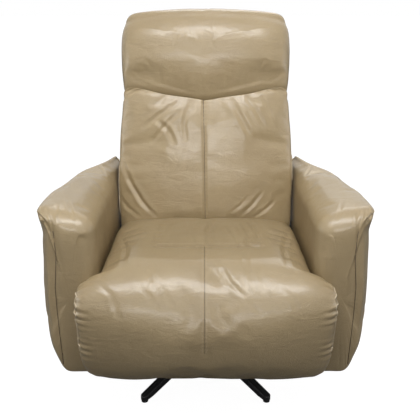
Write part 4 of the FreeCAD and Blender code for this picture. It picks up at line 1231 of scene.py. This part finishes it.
@dataclass
class SoftPiece:
    """A padded leather piece: its form, filling, folds and seams.

    Attributes:
        name: The piece's name.
        body: The body that carries it.
        nodes: The CAD nodes that it replaces.
        folds: Its creases.
        seams: Its sewn channels.
        crease: How much deeper than drawn its folds are.
        filling: How it is blown up.
        fill: Share of its volume that its padding takes; not used.
        finish: Its leather.
        slot: The material slot of its leather; not used.
        ripple: Height of its unevenness in metres.
        seed: Which unevenness it has.
    """

    name: str
    body: str
    nodes: tuple[str, ...]
    folds: tuple[Mark, ...]
    seams: tuple[Mark, ...]
    crease: float
    filling: Filling
    fill: float
    finish: Finish = Finish.LEATHER
    slot: str = "tan_leather"
    ripple: float = 0.0010
    seed: int = 0

    def form(self) -> np.ndarray:
        """Return the rings of the piece's form."""
        raise NotImplementedError

    def held(self, points: np.ndarray) -> np.ndarray:
        """Return where the cover is sewn down, from 0 to 1."""
        return np.zeros(len(points))

    def facing(self, points: np.ndarray, normals: np.ndarray) -> np.ndarray:
        """Return how much each point faces the front view, from 0 to 1."""
        toward = np.array(VIEW.place) - points
        toward /= np.linalg.norm(toward, axis=1)[:, None]
        return smooth_step(0.02, 0.30, np.sum(toward * normals, axis=1))

    def sculpt(self, piece: bpy.types.Object) -> None:
        """Press the folds and the seams into the cover."""
        points, normals = read_points(piece), read_points(piece, "normal")
        frame = VIEW.project(points)
        sink = np.zeros(len(points))
        for fold in self.folds:
            sink += fold.sink(frame) * self.crease
        for seam in self.seams:
            sink += seam.sink(frame)
        sink *= self.facing(points, normals)
        broad, fine = waves(points, 0.12, self.seed), waves(points, 0.05, self.seed + 1)
        swell = self.ripple * (broad * 0.7 + fine * 0.3)
        write_points(piece, points + normals * (swell - sink)[:, None])

    def trims(self, piece: bpy.types.Object) -> list[bpy.types.Object | None]:
        """Return the stitches and the piping that go on the piece."""
        return []

    def attach(self, piece: bpy.types.Object) -> None:
        """Make a piece or its trim move with the chair."""
        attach(piece, self.body)

    def build(self) -> None:
        """Make, fill, sculpt and dress the piece."""
        piece = ring_mesh(self.name, self.form())
        self.filling.blow(piece, self.held(read_points(piece)))
        subdivide(piece)
        self.sculpt(piece)
        shade_smooth(piece)
        dress(piece, self.finish)
        trims = [trim for trim in self.trims(piece) if trim]
        for made in (piece, *trims):
            made.data.transform(Matrix.Translation((0.0, AXIS_DEPTH, 0.0)))
            made.data.update()
        self.attach(piece)
        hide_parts(*self.nodes)
        for trim in trims:
            self.attach(trim)
        LOG.info("%s: %d faces", self.name, len(piece.data.polygons))


class HeadrestCover(SoftPiece):
    """The headrest cushion: full at the front, overhanging the V seam."""

    def form(self) -> np.ndarray:
        """Return the rings between the V seam and the crowned top."""
        bands = (Band(0.0, 261, 84, 80, 7.0), Band(0.10, 264, 94, 76, 6.4),
                 Band(0.30, 267, 101, 70, 5.4), Band(0.55, 269, 100, 60, 5.0),
                 Band(0.78, 268, 89, 46, 5.0), Band(0.92, 264, 74, 32, 5.0),
                 Band(1.0, 256, 54, 18, 5.0))

        def crown(x: np.ndarray, _depth: np.ndarray) -> np.ndarray:
            """Return the top's height, which falls off towards the sides."""
            side = np.clip((np.abs(x) - 215) / 52, 0, 1.1)
            return 702 - 16 * (x / 250) ** 2 - 14 * side**2.4

        return Column(bands, lambda x, depth: JOINT.surface(x, depth, 0.0), crown, 0.0, 4.0, 10, 20,
                      tall=270, bow=0.14).rings()

    def held(self, points: np.ndarray) -> np.ndarray:
        """Hold the rear and the edge along the V seam."""
        lean = LEAN.back(points)
        low = 1 - smooth_step(0.0, 30.0, lean[:, 2] - JOINT.surface(lean[:, 0], lean[:, 1], 0.0))
        rear = smooth_step(20.0, 55.0, lean[:, 1]) * 0.8
        side = smooth_step(240.0, 262.0, np.abs(lean[:, 0])) * 0.85
        return np.maximum.reduce((low, rear, side))


class BackCover(SoftPiece):
    """The back cushion between the seat and the V seam."""

    def form(self) -> np.ndarray:
        """Return the rings from the seat up to the V seam."""
        bands = (Band(0.0, 270, 14, 28, 6.0), Band(0.06, 276, 40, 31, 6.0),
                 Band(0.14, 280, 52, 33, 5.6), Band(0.25, 283, 59, 34, 5.2),
                 Band(0.40, 284, 64, 34, 5.0), Band(0.55, 282, 63, 34, 5.0),
                 Band(0.70, 277, 60, 34, 5.6), Band(0.85, 270, 57, 34, 6.4),
                 Band(0.95, 265, 55, 34, 7.4), Band(1.0, 263, 52, 34, 8.0))
        return Column(bands, lambda x, depth: np.full_like(x, -70.0),
                      lambda x, depth: JOINT.surface(x, depth, 1.5), -30.0, 5.0, 16, 10,
                      tall=440, bow=0.30).rings()

    def held(self, points: np.ndarray) -> np.ndarray:
        """Hold the rear face, the lower end and the V seam."""
        lean = LEAN.back(points)
        rear = smooth_step(-22.0, -4.0, lean[:, 1])
        top = smooth_step(-26.0, -4.0, lean[:, 2] - JOINT.surface(lean[:, 0], lean[:, 1], 1.5))
        low = 1 - smooth_step(-60.0, -25.0, lean[:, 2])
        side = smooth_step(258.0, 274.0, np.abs(lean[:, 0])) * 0.85
        return np.clip(np.maximum.reduce((rear, top, low * 0.8, side)), 0, 1)

    def trims(self, piece: bpy.types.Object) -> list[bpy.types.Object | None]:
        """Return the piping of both side seams and the near-black cord that paints the middle
        seam's shade.
        """
        surface = Surface(piece)
        side = ((123.8, 90), (122.0, 105), (121.0, 120), (119.8, 150), (119.2, 185), (120.4, 213))
        runs = [surface.seen(run, 1.2, 0.0006) for run in (side, VIEW.mirror(side))]
        # Near-black cord sunk just under the middle seam's channel: painted shade of its groove.
        middle = [surface.seen(((203.4, 98.8), (204.5, 150), (205.2, 219)), 1.2, -0.0003)]
        return [TRIM.make(TrimKind.PIPING, "back_side_piping", runs, Finish.PIPING,
                          Radius=0.0016, Pitch=0.005),
                TRIM.make(TrimKind.PIPING, "back_middle_seam_shade", middle, Finish.DARK_SEAM,
                          Radius=0.0009, Pitch=0.005)]


class ShellCover(SoftPiece):
    """The upholstered rear half of the back."""

    def form(self) -> np.ndarray:
        """Return the rings of the rear shell."""
        bands = (Band(0.0, 268, 41, 38, 6.0), Band(0.10, 274, 42, 42, 6.0),
                 Band(0.4, 277, 42, 44, 6.0), Band(0.8, 268, 42, 42, 6.0),
                 Band(1.0, 262, 41, 38, 6.0))
        return Column(bands, lambda x, depth: -np.sqrt(np.clip(85.0**2 - depth**2, 0.0, None)),
                      lambda x, depth: np.minimum(JOINT.surface(x, depth, 4.0), 484.0),
                      46.0, 4.2, 12, 8, tall=480).rings()

    def held(self, points: np.ndarray) -> np.ndarray:
        """Hold everything except the rear face."""
        lean = LEAN.back(points)
        return 1 - smooth_step(60.0, 85.0, lean[:, 1])


@dataclass(frozen=True)
class Slice:
    """One section of the chaise: its outer and inner place and its half width, in millimetres."""

    outer: Point
    inner: Point
    half: float


class ChaiseCover(SoftPiece):
    """The one-piece seat and footrest pad that rolls over the chair's front."""

    start = (0.0, -0.27 + AXIS_DEPTH, 0.46)
    end = (0.0, -0.40 + AXIS_DEPTH, 0.36)
    slices = (
        Slice((118, 436), (112, 322), 279), Slice((70, 452), (70, 309), 282),
        Slice((0, 458), (0, 306), 283), Slice((-100, 460), (-100, 305), 284),
        Slice((-200, 461), (-200, 305), 285),
        Slice((-262, 460), (-262, 306), 286), Slice((-298, 457), (-296, 328), 292),
        Slice((-318, 453), (-315, 368), 318), Slice((-348, 441), (-322, 376), 335),
        Slice((-380, 414), (-326, 372), 339), Slice((-399, 374), (-322, 360), 340),
        Slice((-405, 325), (-312, 324), 338), Slice((-404, 278), (-302, 279), 337),
        Slice((-399, 228), (-300, 228), 335), Slice((-389, 184), (-300, 188), 328),
        Slice((-368, 152), (-304, 160), 312), Slice((-344, 141), (-316, 149), 290))

    def form(self) -> np.ndarray:
        """Return the rings along the seat and down the front."""
        at = np.array([0.0] + [(math.dist(a.outer, b.outer) + math.dist(a.inner, b.inner)) / 2
                               for a, b in zip(self.slices, self.slices[1:])]).cumsum()
        fine = np.linspace(0, at[-1], int(at[-1] / 8.0))
        read = [smooth_curve(fine, at, values) for values in zip(
            *((*cut.outer, *cut.inner, cut.half) for cut in self.slices))]
        rings = []
        for from_rear, oy, oz, iy, iz, half in zip(fine, *read):
            from_foot = fine[-1] - from_rear
            thick = math.hypot(oy - iy, oz - iz)
            middle = np.array(((oy + iy) / 2, (oz + iz) / 2))
            up = np.array((oy - iy, oz - iz)) / thick
            share = rounding(from_rear, 26, 0.02) * rounding(from_foot, 34, 0.02)
            sides = half - 30 * (1 - rounding(from_foot, 75))
            front = float(smooth_step(-270.0, -345.0, oy))
            corner = 6.5 - 1.9 * front
            ring = rounded_ring(sides, thick / 2, thick / 2, corner, corner, 88)
            x, h = ring[:, 0], -ring[:, 1] * share
            edge = np.clip(np.abs(x) / sides, 0, 1)
            h = h - (4.0 + 5.0 * front) * edge**4 * np.sign(h) * min(1.0, thick / 90)
            x = x * np.where(h < 0, 1 - 0.035 * (1 - front), 1.0)
            yz = middle + up * h[:, None]
            rings.append(np.stack((x, yz[:, 0], yz[:, 1]), axis=1) * MM)
        rear_end = [self._pinch(rings[0], share) for share in (0.05, 0.5)]
        foot_end = [self._pinch(rings[-1], share) for share in (0.5, 0.05)]
        return np.array(rear_end + rings + foot_end)

    @staticmethod
    def _pinch(ring: np.ndarray, share: float) -> np.ndarray:
        """Flatten a ring towards its middle line to close the end."""
        middle = ring.mean(axis=0)
        pinched = middle + (ring - middle) * share
        pinched[:, 0] = ring[:, 0] * (0.96 + 0.04 * share)
        return pinched

    def held(self, points: np.ndarray) -> np.ndarray:
        """Hold the underside, the sides of the seat and the hidden face of the pad."""
        low = (points[:, 1] > -0.27) & (points[:, 2] < 0.40)
        behind = (points[:, 1] <= -0.27) & (points[:, 1] > -0.335) & (points[:, 2] < 0.375)
        side = smooth_step(0.255, 0.278, np.abs(points[:, 0])) * (points[:, 1] > -0.28)
        return np.clip(np.maximum(np.where(low | behind, 1.0, 0.0), side * 0.7), 0, 1)

    def sculpt(self, piece: bpy.types.Object) -> None:
        """Press the folds and the seams, then gather the sides of the front."""
        super().sculpt(piece)
        points, normals = read_points(piece), read_points(piece, "normal")
        side = smooth_step(0.285, 0.335, np.abs(points[:, 0])) * (points[:, 1] < -0.30)
        pitch, height = 0.021, 0.0026
        run = np.where(points[:, 2] > 0.40, 0.8 - points[:, 1], 1.4 - points[:, 2])
        wave = np.sin(run * 2 * math.pi / pitch + 2.2 * np.sin(run * 23))
        wave *= 0.55 + 0.45 * np.sin(run * 61 + 1)
        write_points(piece, points + normals * (side * wave * height)[:, None])

    def trims(self, piece: bpy.types.Object) -> list[bpy.types.Object | None]:
        """Return the piping at the sides of the front, the stitches beside the seams and the
        near-black cords that paint the seams' shade.
        """
        surface = Surface(piece)
        left = ((88, 266), (79, 276), (76.2, 288), (75.0, 302), (75.2, 318), (76.2, 335),
                (80.0, 349))
        wavy = [(column + 1.1 * math.sin(row * 0.62) + 0.5 * math.sin(row * 1.7), row)
                for column, row in resample(np.asarray(left, float), 60)]
        other = [(column + 0.5, row + 2.0) for column, row in VIEW.mirror(wavy)]
        runs = [surface.seen(run, 1.0, 0.0004) for run in (wavy, other)]
        stitches = [surface.seen(((column, 248), (column, 352)), 1.0, 0.0003)
                    for column in (VIEW.middle - 3.4, VIEW.middle + 1.2)]
        stitches.append(surface.seen(((158, 243.6), (204, 243.2), (260, 243.6)), 1.0, 0.0003))
        # Near-black cords sunk just under the seam channels: painted shade of their grooves.
        seams = [surface.seen(((204.6, 246.5), (204.7, 300), (204.8, 354)), 1.0, -0.0003),
                 surface.seen(((157, 246), (204, 246), (261, 246)), 1.0, -0.0004)]
        return [TRIM.make(TrimKind.PIPING, "chaise_seam_lines", seams, Finish.DARK_SEAM,
                          Radius=0.0008, Pitch=0.005),
                TRIM.make(TrimKind.PIPING, "chaise_side_piping", runs, Finish.PIPING,
                          Radius=0.0016, Pitch=0.004),
                TRIM.make(TrimKind.STITCH, "chaise_stitches", stitches, Finish.THREAD,
                          Radius=0.00045, Pitch=0.0052, Length=0.0034)]

    def attach(self, piece: bpy.types.Object) -> None:
        """Bake the cover's placement into its mesh, leaving it on no body."""
        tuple(self.start)
        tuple(self.end)
        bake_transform(piece)


class ArmCover(SoftPiece):
    """One arm from its rolled front tip to the rear peak.

    Its plan gives, in millimetres, how far out its top, its foot and its belly reach at places
    along it.
    """

    side = -1.0
    front, rear = -305.0, 283.0
    tip_roll, tip_depth, rear_roll = 46.0, 44.0, 18.0
    plan_y = (-303.0, -262.0, -224.0, -136.0, -47.0, 74.0, 200.0, 283.0)
    plan_top = (434.0, 441.0, 442.0, 439.0, 426.0, 400.0, 344.0, 316.0)
    plan_foot = (405.0, 405.0, 403.0, 396.0, 386.0, 372.0, 352.0, 338.0)
    plan_belly = (437.0, 437.0, 436.0, 432.0, 422.0, 402.0, 376.0, 356.0)

    def section(self, y: float) -> list[Point]:
        """Return the control points of one section.

        Args:
            y: Place along the arm, in millimetres.

        Returns:
            Places across and up, in millimetres.
        """
        top, foot, belly = (float(smooth_curve(y, self.plan_y, values)) for values in
                            (self.plan_top, self.plan_foot, self.plan_belly))
        inner = 289.0
        wide = top - inner
        neck = min(belly - 7, top - 8)
        return [(inner, 152), (inner + 1, 300), (inner, 420), (inner, 530), (inner + 3, 565),
                (inner + 0.20 * wide, 592), (inner + 0.58 * wide, 608), (top - 15, 617),
                (top - 3, 611), (top - 3, 594), (neck, 560), (neck + 2, 515), (belly, 400),
                (belly, 300), (belly - 4, 222), (foot + 14, 178), (foot, 143), (foot - 16, 129),
                ((inner + foot) / 2, 127), (inner + 12, 131)]

    def form(self) -> np.ndarray:
        """Return the rings from the front to the rear."""
        front, rear, count = self.front, self.rear, 140
        closing = (0.03, 0.35, 0.7)
        rows = [(front, self.tip_depth, shrink) for shrink in closing]
        rows += [(front + self.tip_roll * (1 - math.sin(turn)),
                  self.tip_depth * (1 - math.cos(turn)), 1.0)
                 for turn in np.linspace(math.pi / 2, 0.0, 9)]
        rows += [(float(y), 0.0, 1.0)
                 for y in np.linspace(front + self.tip_roll + 8, rear - self.rear_roll - 6, 62)]
        rows += [(rear - self.rear_roll * (1 - math.sin(turn)),
                  self.rear_roll * (1 - math.cos(turn)), 1.0)
                 for turn in np.linspace(0.0, math.pi / 2, 6)]
        rows += [(rear, self.rear_roll, shrink) for shrink in closing[::-1]]
        rings = []
        for y, inset, shrink in rows:
            ring = closed_spline(self.section(y), count)
            if y < 0:
                top = smooth_step(380.0, 560.0, ring[:, 1])
                top = top * smooth_step(430.0, 330.0, ring[:, 0])
                inset = inset * (0.42 + 0.58 * top)
            ring = self._inset(ring, inset)
            middle = ring.mean(axis=0)
            ring = middle + (ring - middle) * shrink
            high = smooth_step(540.0, 612.0, ring[:, 1])
            z = ring[:, 1] - 6.0 * high * smooth_step(-262.0, -303.0, y)
            rings.append(np.stack((ring[:, 0] * self.side, np.full(count, y), z), axis=1) * MM)
        return np.array(rings)

    @staticmethod
    def _inset(ring: np.ndarray, depth: float | np.ndarray) -> np.ndarray:
        """Move a closed ring inwards by a depth."""
        tangent = np.roll(ring, -1, axis=0) - np.roll(ring, 1, axis=0)
        tangent /= np.linalg.norm(tangent, axis=1)[:, None]
        normal = np.stack((tangent[:, 1], -tangent[:, 0]), axis=1)
        middle = ring.mean(axis=0)
        if np.sum((ring - middle) * normal) < 0:
            normal = -normal
        return ring - normal * np.reshape(depth, (-1, 1))

    def held(self, points: np.ndarray) -> np.ndarray:
        """Hold the inner face, the underside and the rear."""
        across = np.abs(points[:, 0])
        inner = 1 - smooth_step(0.292, 0.312, across)
        low = 1 - smooth_step(0.15, 0.20, points[:, 2])
        rear = smooth_step(0.255, 0.28, points[:, 1])
        return np.clip(np.maximum.reduce((inner, low, rear)), 0, 1)

    def trims(self, piece: bpy.types.Object) -> list[bpy.types.Object | None]:
        """Return the cord along the outer top edge and the near-black cord that paints the shade of
        the side-panel seam.
        """
        surface = Surface(piece)
        front = ((52.9, 231), (54.6, 244), (56, 257), (55.6, 272), (55.2, 288), (57.2, 311),
                 (59.8, 334), (63.6, 364))
        if self.side > 0:
            front = VIEW.mirror(front)
        # Near-black cord sunk just under the side-panel seam: painted shade of its groove.
        runs = [surface.seen(front, 1.0, -0.0002)]
        places = np.linspace(262.0, -285.0, 60)
        along = [Vector((self.side * (x - 1) * MM, y * MM, 0.603))
                 for x, y in zip(smooth_curve(places, self.plan_y, self.plan_top), places)]
        name = "left" if self.side < 0 else "right"
        return [TRIM.make(TrimKind.PIPING, f"arm_front_seam_{name}", runs, Finish.DARK_SEAM,
                          Radius=0.0012, Pitch=0.004),
                TRIM.make(TrimKind.PIPING, f"arm_top_piping_{name}",
                          [surface.nearest(along, 0.0004)], Finish.LEATHER,
                          Radius=0.0016, Pitch=0.005)]


class ArmCoverRight(ArmCover):
    """The arm on the chair's other side."""

    side = 1.0


class RearPanelCover(SoftPiece):
    """The padded panel across the chair's rear, below the back."""

    def form(self) -> np.ndarray:
        """Return the rings of a softly crowned panel."""
        low, high, depth, middle, edge = 157.0, 365.0, 8.5, 280.5, 10
        turns = np.linspace(0.5, math.pi / 2, 4)
        steps = [(low, 0.05), (low, 0.6)]
        steps += [(low + edge * (1 - math.cos(turn)), math.sin(turn)) for turn in turns]
        steps += [(z, 1.0) for z in np.linspace(low + 18, high - 18, 24)]
        steps += [(high - edge * (1 - math.cos(turn)), math.sin(turn)) for turn in turns[::-1]]
        steps += [(high, 0.6), (high, 0.05)]
        rings = []
        for z, share in steps:
            ring = rounded_ring(286, depth * share, depth * share, 5.0, 5.0, 120)
            y = middle + ring[:, 1]
            rings.append(np.stack((ring[:, 0], y, np.full(len(y), z)), axis=1) * MM)
        return np.array(rings)


# ---------------------------------------------------------------------------------------------
# The marks that the front view shows
# ---------------------------------------------------------------------------------------------

def folds(*rows: tuple[float, ...]) -> tuple[Fold, ...]:
    """Make folds from rows of a width, a depth and then the columns and rows of their places."""
    return tuple(Fold(tuple(zip(places[::2], places[1::2])), width, depth)
                 for width, depth, *places in rows)


BACK_FOLDS = folds(
    (3.2, 0.0035, 176, 104, 160, 114, 143, 128), (3.0, 0.0030, 180, 112, 168, 122, 152, 142),
    (3.5, 0.0045, 158, 121, 168, 130, 174, 142), (3.0, 0.0020, 187, 108, 184, 124, 186, 140),
    (4.0, 0.0040, 232, 102, 240, 116, 252, 138), (3.2, 0.0030, 247, 99, 256, 110, 266, 130),
    (2.5, 0.0015, 262, 96, 270, 112, 276, 128), (3.0, 0.0040, 122, 162, 132, 185, 148, 210),
    (2.6, 0.0030, 127, 178, 140, 200, 157, 217), (2.5, 0.0030, 119, 195, 128, 208, 140, 217),
    (2.6, 0.0035, 262, 192, 252, 205, 240, 216), (2.4, 0.0030, 275, 200, 266, 209, 254, 217),
    (2.2, 0.0020, 248, 196, 240, 206, 228, 214), (1.6, 0.0022, 126, 98, 133, 92, 142, 89),
    (1.5, 0.0018, 125, 93, 131, 89.5, 138, 87), (1.6, 0.0022, 284, 96, 277, 91, 266, 87),
    (1.5, 0.0018, 283, 91, 276, 87.5, 268, 85.5))
HEAD_FOLDS = folds(
    (2.2, 0.0016, 176, 26, 177, 36, 174, 46), (2.4, 0.0018, 186, 22, 188, 34, 187, 44),
    (2.2, 0.0015, 198, 24, 197, 34, 199, 46), (2.6, 0.0017, 212, 22, 214, 34, 212, 44),
    (3.2, 0.0018, 146, 78, 170, 86, 192, 92), (3.2, 0.0018, 222, 90, 246, 84, 268, 78),
    (2.4, 0.0020, 128, 74, 136, 80, 147, 84), (2.4, 0.0020, 283, 73, 275, 79, 264, 82))
CHAISE_FOLDS = folds(
    (2.2, 0.0030, 149, 262, 153, 280, 162, 302), (2.0, 0.0025, 157, 278, 166, 296, 172, 306),
    (2.5, 0.0015, 138, 285, 150, 297, 158, 310), (2.6, 0.0050, 213, 222, 207, 232, 210, 246),
    (2.6, 0.0040, 243, 224, 250, 236, 243, 248), (2.4, 0.0030, 228, 226, 236, 236, 240, 247),
    (2.2, 0.0020, 192, 222, 196, 236, 200, 246), (1.8, 0.0020, 172, 224, 166, 236, 160, 246),
    (2.4, 0.0040, 219, 262, 230, 282, 244, 297), (2.2, 0.0030, 246, 252, 247, 275, 246, 296),
    (2.0, 0.0020, 245, 297, 254, 308, 262, 314), (2.6, 0.0018, 258, 262, 262, 280, 266, 296),
    (2.5, 0.0015, 283, 288, 292, 298, 298, 310), (3.0, 0.0018, 96, 282, 112, 296, 118, 318),
    (2.8, 0.0022, 120, 232, 126, 250, 122, 272), (2.8, 0.0022, 288, 230, 284, 250, 289, 272))
ARM_FOLDS_LEFT = folds(
    (1.8, 0.0050, 36, 212, 42, 218, 50, 228), (1.7, 0.0035, 46, 208, 49, 218, 54, 230),
    (1.8, 0.0022, 57, 204, 56, 216, 57, 230), (2.2, 0.0018, 66, 196, 70, 206, 74, 220),
    (1.6, 0.0030, 98, 163, 101, 168, 106, 176))
ARM_FOLDS_RIGHT = tuple(fold.mirrored() for fold in ARM_FOLDS_LEFT) + folds(
    (1.4, 0.0016, 338, 345, 340, 356, 339, 368), (1.4, 0.0014, 343, 348, 345, 358, 345, 369))
BACK_SEAMS = (Seam(((203.4, 98.5), (204.5, 150), (205.2, 221)), 1.15, 0.0034),)
CHAISE_SEAMS = (
    Seam(((204.6, 247), (204.7, 300), (204.8, 356)), 1.1, 0.0032),
    Seam(((157, 246), (204, 246), (261, 246)), 1.1, 0.0030),
    Seam(((157, 246), (158.5, 234), (165, 222)), 1.1, 0.0028),
    Seam(((261, 246), (258, 234), (250, 221)), 1.1, 0.0028))
ARM_SEAMS_LEFT = (
    Seam(((52.9, 231), (56, 257), (55.2, 288), (59.8, 334), (63.6, 364)), 0.9, 0.0030),)
ARM_SEAMS_RIGHT = tuple(seam.mirrored() for seam in ARM_SEAMS_LEFT)


def soft_pieces() -> list[SoftPiece]:
    """Return the soft pieces in the order in which they are made."""
    full = Filling(pressure=2.6, slack=0.012, cap=0.014)
    smooth = Filling(pressure=2.0, slack=0.004, cap=0.008)
    firm = Filling(pressure=1.2, slack=0.004, cap=0.006)
    rear = (Finish.LEATHER_REAR, "tan_leather_rear")
    return [
        HeadrestCover("headrest_cover", "headrest", ("headrest_cushion",), HEAD_FOLDS, (),
                      0.8, smooth, 0.85, ripple=0.0006, seed=11),
        BackCover("back_cushion_cover", "back", ("back_cushion",), BACK_FOLDS, BACK_SEAMS,
                  1.45, full, 0.8, ripple=0.0008, seed=21),
        ShellCover("back_shell_cover", "back", ("back_shell",), (), (), 1.0, firm, 0.6, *rear,
                   seed=31),
        ChaiseCover("chaise_cover", "seat", ("seat_cushion", "footrest_pad"), CHAISE_FOLDS,
                    CHAISE_SEAMS, 2.4, full, 0.85, ripple=0.0008, seed=41),
        ArmCover("arm_cover_left", "seat", ("arm_upholstery_left",), ARM_FOLDS_LEFT,
                 ARM_SEAMS_LEFT, 1.3, firm, 0.7, ripple=0.0008, seed=51),
        ArmCoverRight("arm_cover_right", "seat", ("arm_upholstery_right",), ARM_FOLDS_RIGHT,
                      ARM_SEAMS_RIGHT, 1.3, firm, 0.7, ripple=0.0008, seed=61),
        RearPanelCover("rear_panel_cover", "seat", ("rear_panel",), (), (), 1.0, firm, 0.6,
                       *rear, seed=71)]


# ---------------------------------------------------------------------------------------------
# Rigid pieces, studio and the whole scene
# ---------------------------------------------------------------------------------------------

SLOT_FINISHES = {
    "frame_black": Finish.POWDER, "steel": Finish.STEEL, "bush_plastic": Finish.PLASTIC,
    "timber": Finish.TIMBER, "webbing": Finish.WEBBING, "tan_leather": Finish.LEATHER,
    "tan_leather_rear": Finish.LEATHER_REAR}


def dress_nodes(nodes: dict[str, bpy.types.Object]) -> None:
    """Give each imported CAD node, which keeps its shape, the finish of its slot."""
    for node in nodes.values():
        for slot in node.material_slots:
            key = slot.material.name.split(".")[0]
            slot.material = SHOP.material(SLOT_FINISHES.get(key, Finish.POWDER))


@dataclass(frozen=True)
class Lamp:
    """A soft rectangular lamp.

    Attributes:
        name: The lamp's name.
        place: Where it hangs, in metres.
        aim: Where it shines, in metres.
        size: Its width and height, in metres.
        power: Its power in watts.
        spread: Width of its beam in degrees, as a honeycomb grid narrows it.
    """

    name: str
    place: Triple
    aim: Triple
    size: Point
    power: float
    spread: float = 180.0

    def hang(self) -> None:
        """Put the lamp into the scene."""
        data = bpy.data.lights.new(self.name, "AREA")
        data.shape, data.energy, data.spread = "RECTANGLE", self.power, math.radians(self.spread)
        data.size, data.size_y = self.size
        lamp = bpy.data.objects.new(self.name, data)
        lamp.location = self.place
        direction = Vector(self.aim) - Vector(self.place)
        lamp.rotation_euler = direction.to_track_quat("-Z", "Y").to_euler()
        bpy.context.scene.collection.objects.link(lamp)


LAMPS = (
    Lamp("seat_softbox", (0.0, -1.35, 3.0), (0.0, -0.1, 0.5), (2.2, 0.8), 80.0),
    Lamp("front_softbox", (-0.10, -3.2, 1.55), (0.0, 0.0, 0.74), (2.6, 0.60), 2.3, 30.0),
    Lamp("front_fill", (0.3, -3.4, 2.7), (0.0, 0.0, 0.6), (1.2, 1.2), 5.0),
    Lamp("left_fill", (-2.7, -0.5, 0.85), (0.0, 0.0, 0.5), (1.2, 0.9), 16.0),
    Lamp("right_fill", (2.7, -0.4, 0.85), (0.0, 0.0, 0.5), (1.2, 0.9), 14.0),
    Lamp("rear_fill", (0.5, 2.3, 3.3), (0.0, 0.3, 0.5), (2.2, 1.2), 36.0))
WHITE = (1, 1, 1, 1)


@dataclass
class Studio:
    """The pale floor, the surround, the lamps and the camera.

    Attributes:
        reach: Half the floor's side, in metres.
        sky: Strength of the surround where it isn't seen or reflected.
        glow: Strength of the floor's own light, which only the camera sees.
    """

    reach: float = 40.0
    sky: float = 0.07
    glow: float = 0.97

    def build(self) -> None:
        """Make the whole studio."""
        self._floor()
        self._world()
        for lamp in LAMPS:
            lamp.hang()
        VIEW.make_camera()

    def _floor(self) -> None:
        """Make a pale floor that looks white to the camera and keeps the shadow."""
        mesh = bpy.data.meshes.new("studio_floor")
        corners = [(x * self.reach, y * self.reach, 0) for x, y in
                   ((-1, -1), (1, -1), (1, 1), (-1, 1))]
        mesh.from_pydata(corners, [], [(0, 1, 2, 3)])
        plane = bpy.data.objects.new("studio_floor", mesh)
        bpy.context.scene.collection.objects.link(plane)
        s = Shader("pale_floor")
        base = s.blend_colours(s.noise(3.0, 4.0) * 0.1, tone((0.14, 0.14, 0.14)),
                               tone((0.13, 0.13, 0.13)))
        diffuse = s.node("ShaderNodeBsdfPrincipled", {}, {"Base Color": base, "Roughness": 0.9})
        glow = s.node("ShaderNodeEmission", {}, {"Color": WHITE, "Strength": self.glow})
        path = s.node("ShaderNodeLightPath", output="Is Camera Ray")
        both = s.node("ShaderNodeAddShader", {}, {0: diffuse, 1: glow})
        s.node_output(s.node("ShaderNodeMixShader", {}, {0: path, 1: diffuse, 2: both}))
        mesh.materials.append(s.material)

    def _world(self) -> None:
        """Make a soft white surround, pure white where it is seen or reflected."""
        world = bpy.data.worlds.new("studio")
        bpy.context.scene.world = world
        world.use_nodes = True
        nodes, links = world.node_tree.nodes, world.node_tree.links
        nodes.clear()
        path, mix, out = (nodes.new(kind) for kind in
                          ("ShaderNodeLightPath", "ShaderNodeMixShader", "ShaderNodeOutputWorld"))
        for socket, strength in ((1, self.sky), (2, 1.0)):
            light = nodes.new("ShaderNodeBackground")
            light.inputs["Color"].default_value = WHITE
            light.inputs["Strength"].default_value = strength
            links.new(light.outputs[0], mix.inputs[socket])
        both, either = nodes.new("ShaderNodeMath"), nodes.new("ShaderNodeMath")
        both.operation = either.operation = "MAXIMUM"
        links.new(path.outputs["Is Camera Ray"], both.inputs[0])
        links.new(path.outputs["Is Glossy Ray"], both.inputs[1])
        links.new(both.outputs[0], either.inputs[0])
        links.new(path.outputs["Is Transmission Ray"], either.inputs[1])
        links.new(either.outputs[0], mix.inputs[0])
        links.new(mix.outputs[0], out.inputs[0])


def main() -> None:
    """Build the dressed chair in its studio."""
    logging.basicConfig(level=logging.INFO, format="%(name)s: %(message)s")
    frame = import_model()
    Studio().build()
    dress_nodes(frame["nodes"])
    for piece in soft_pieces():
        piece.build()
    bpy.context.scene.view_settings.view_transform = "Standard"


if __name__ == "__main__":
    main()
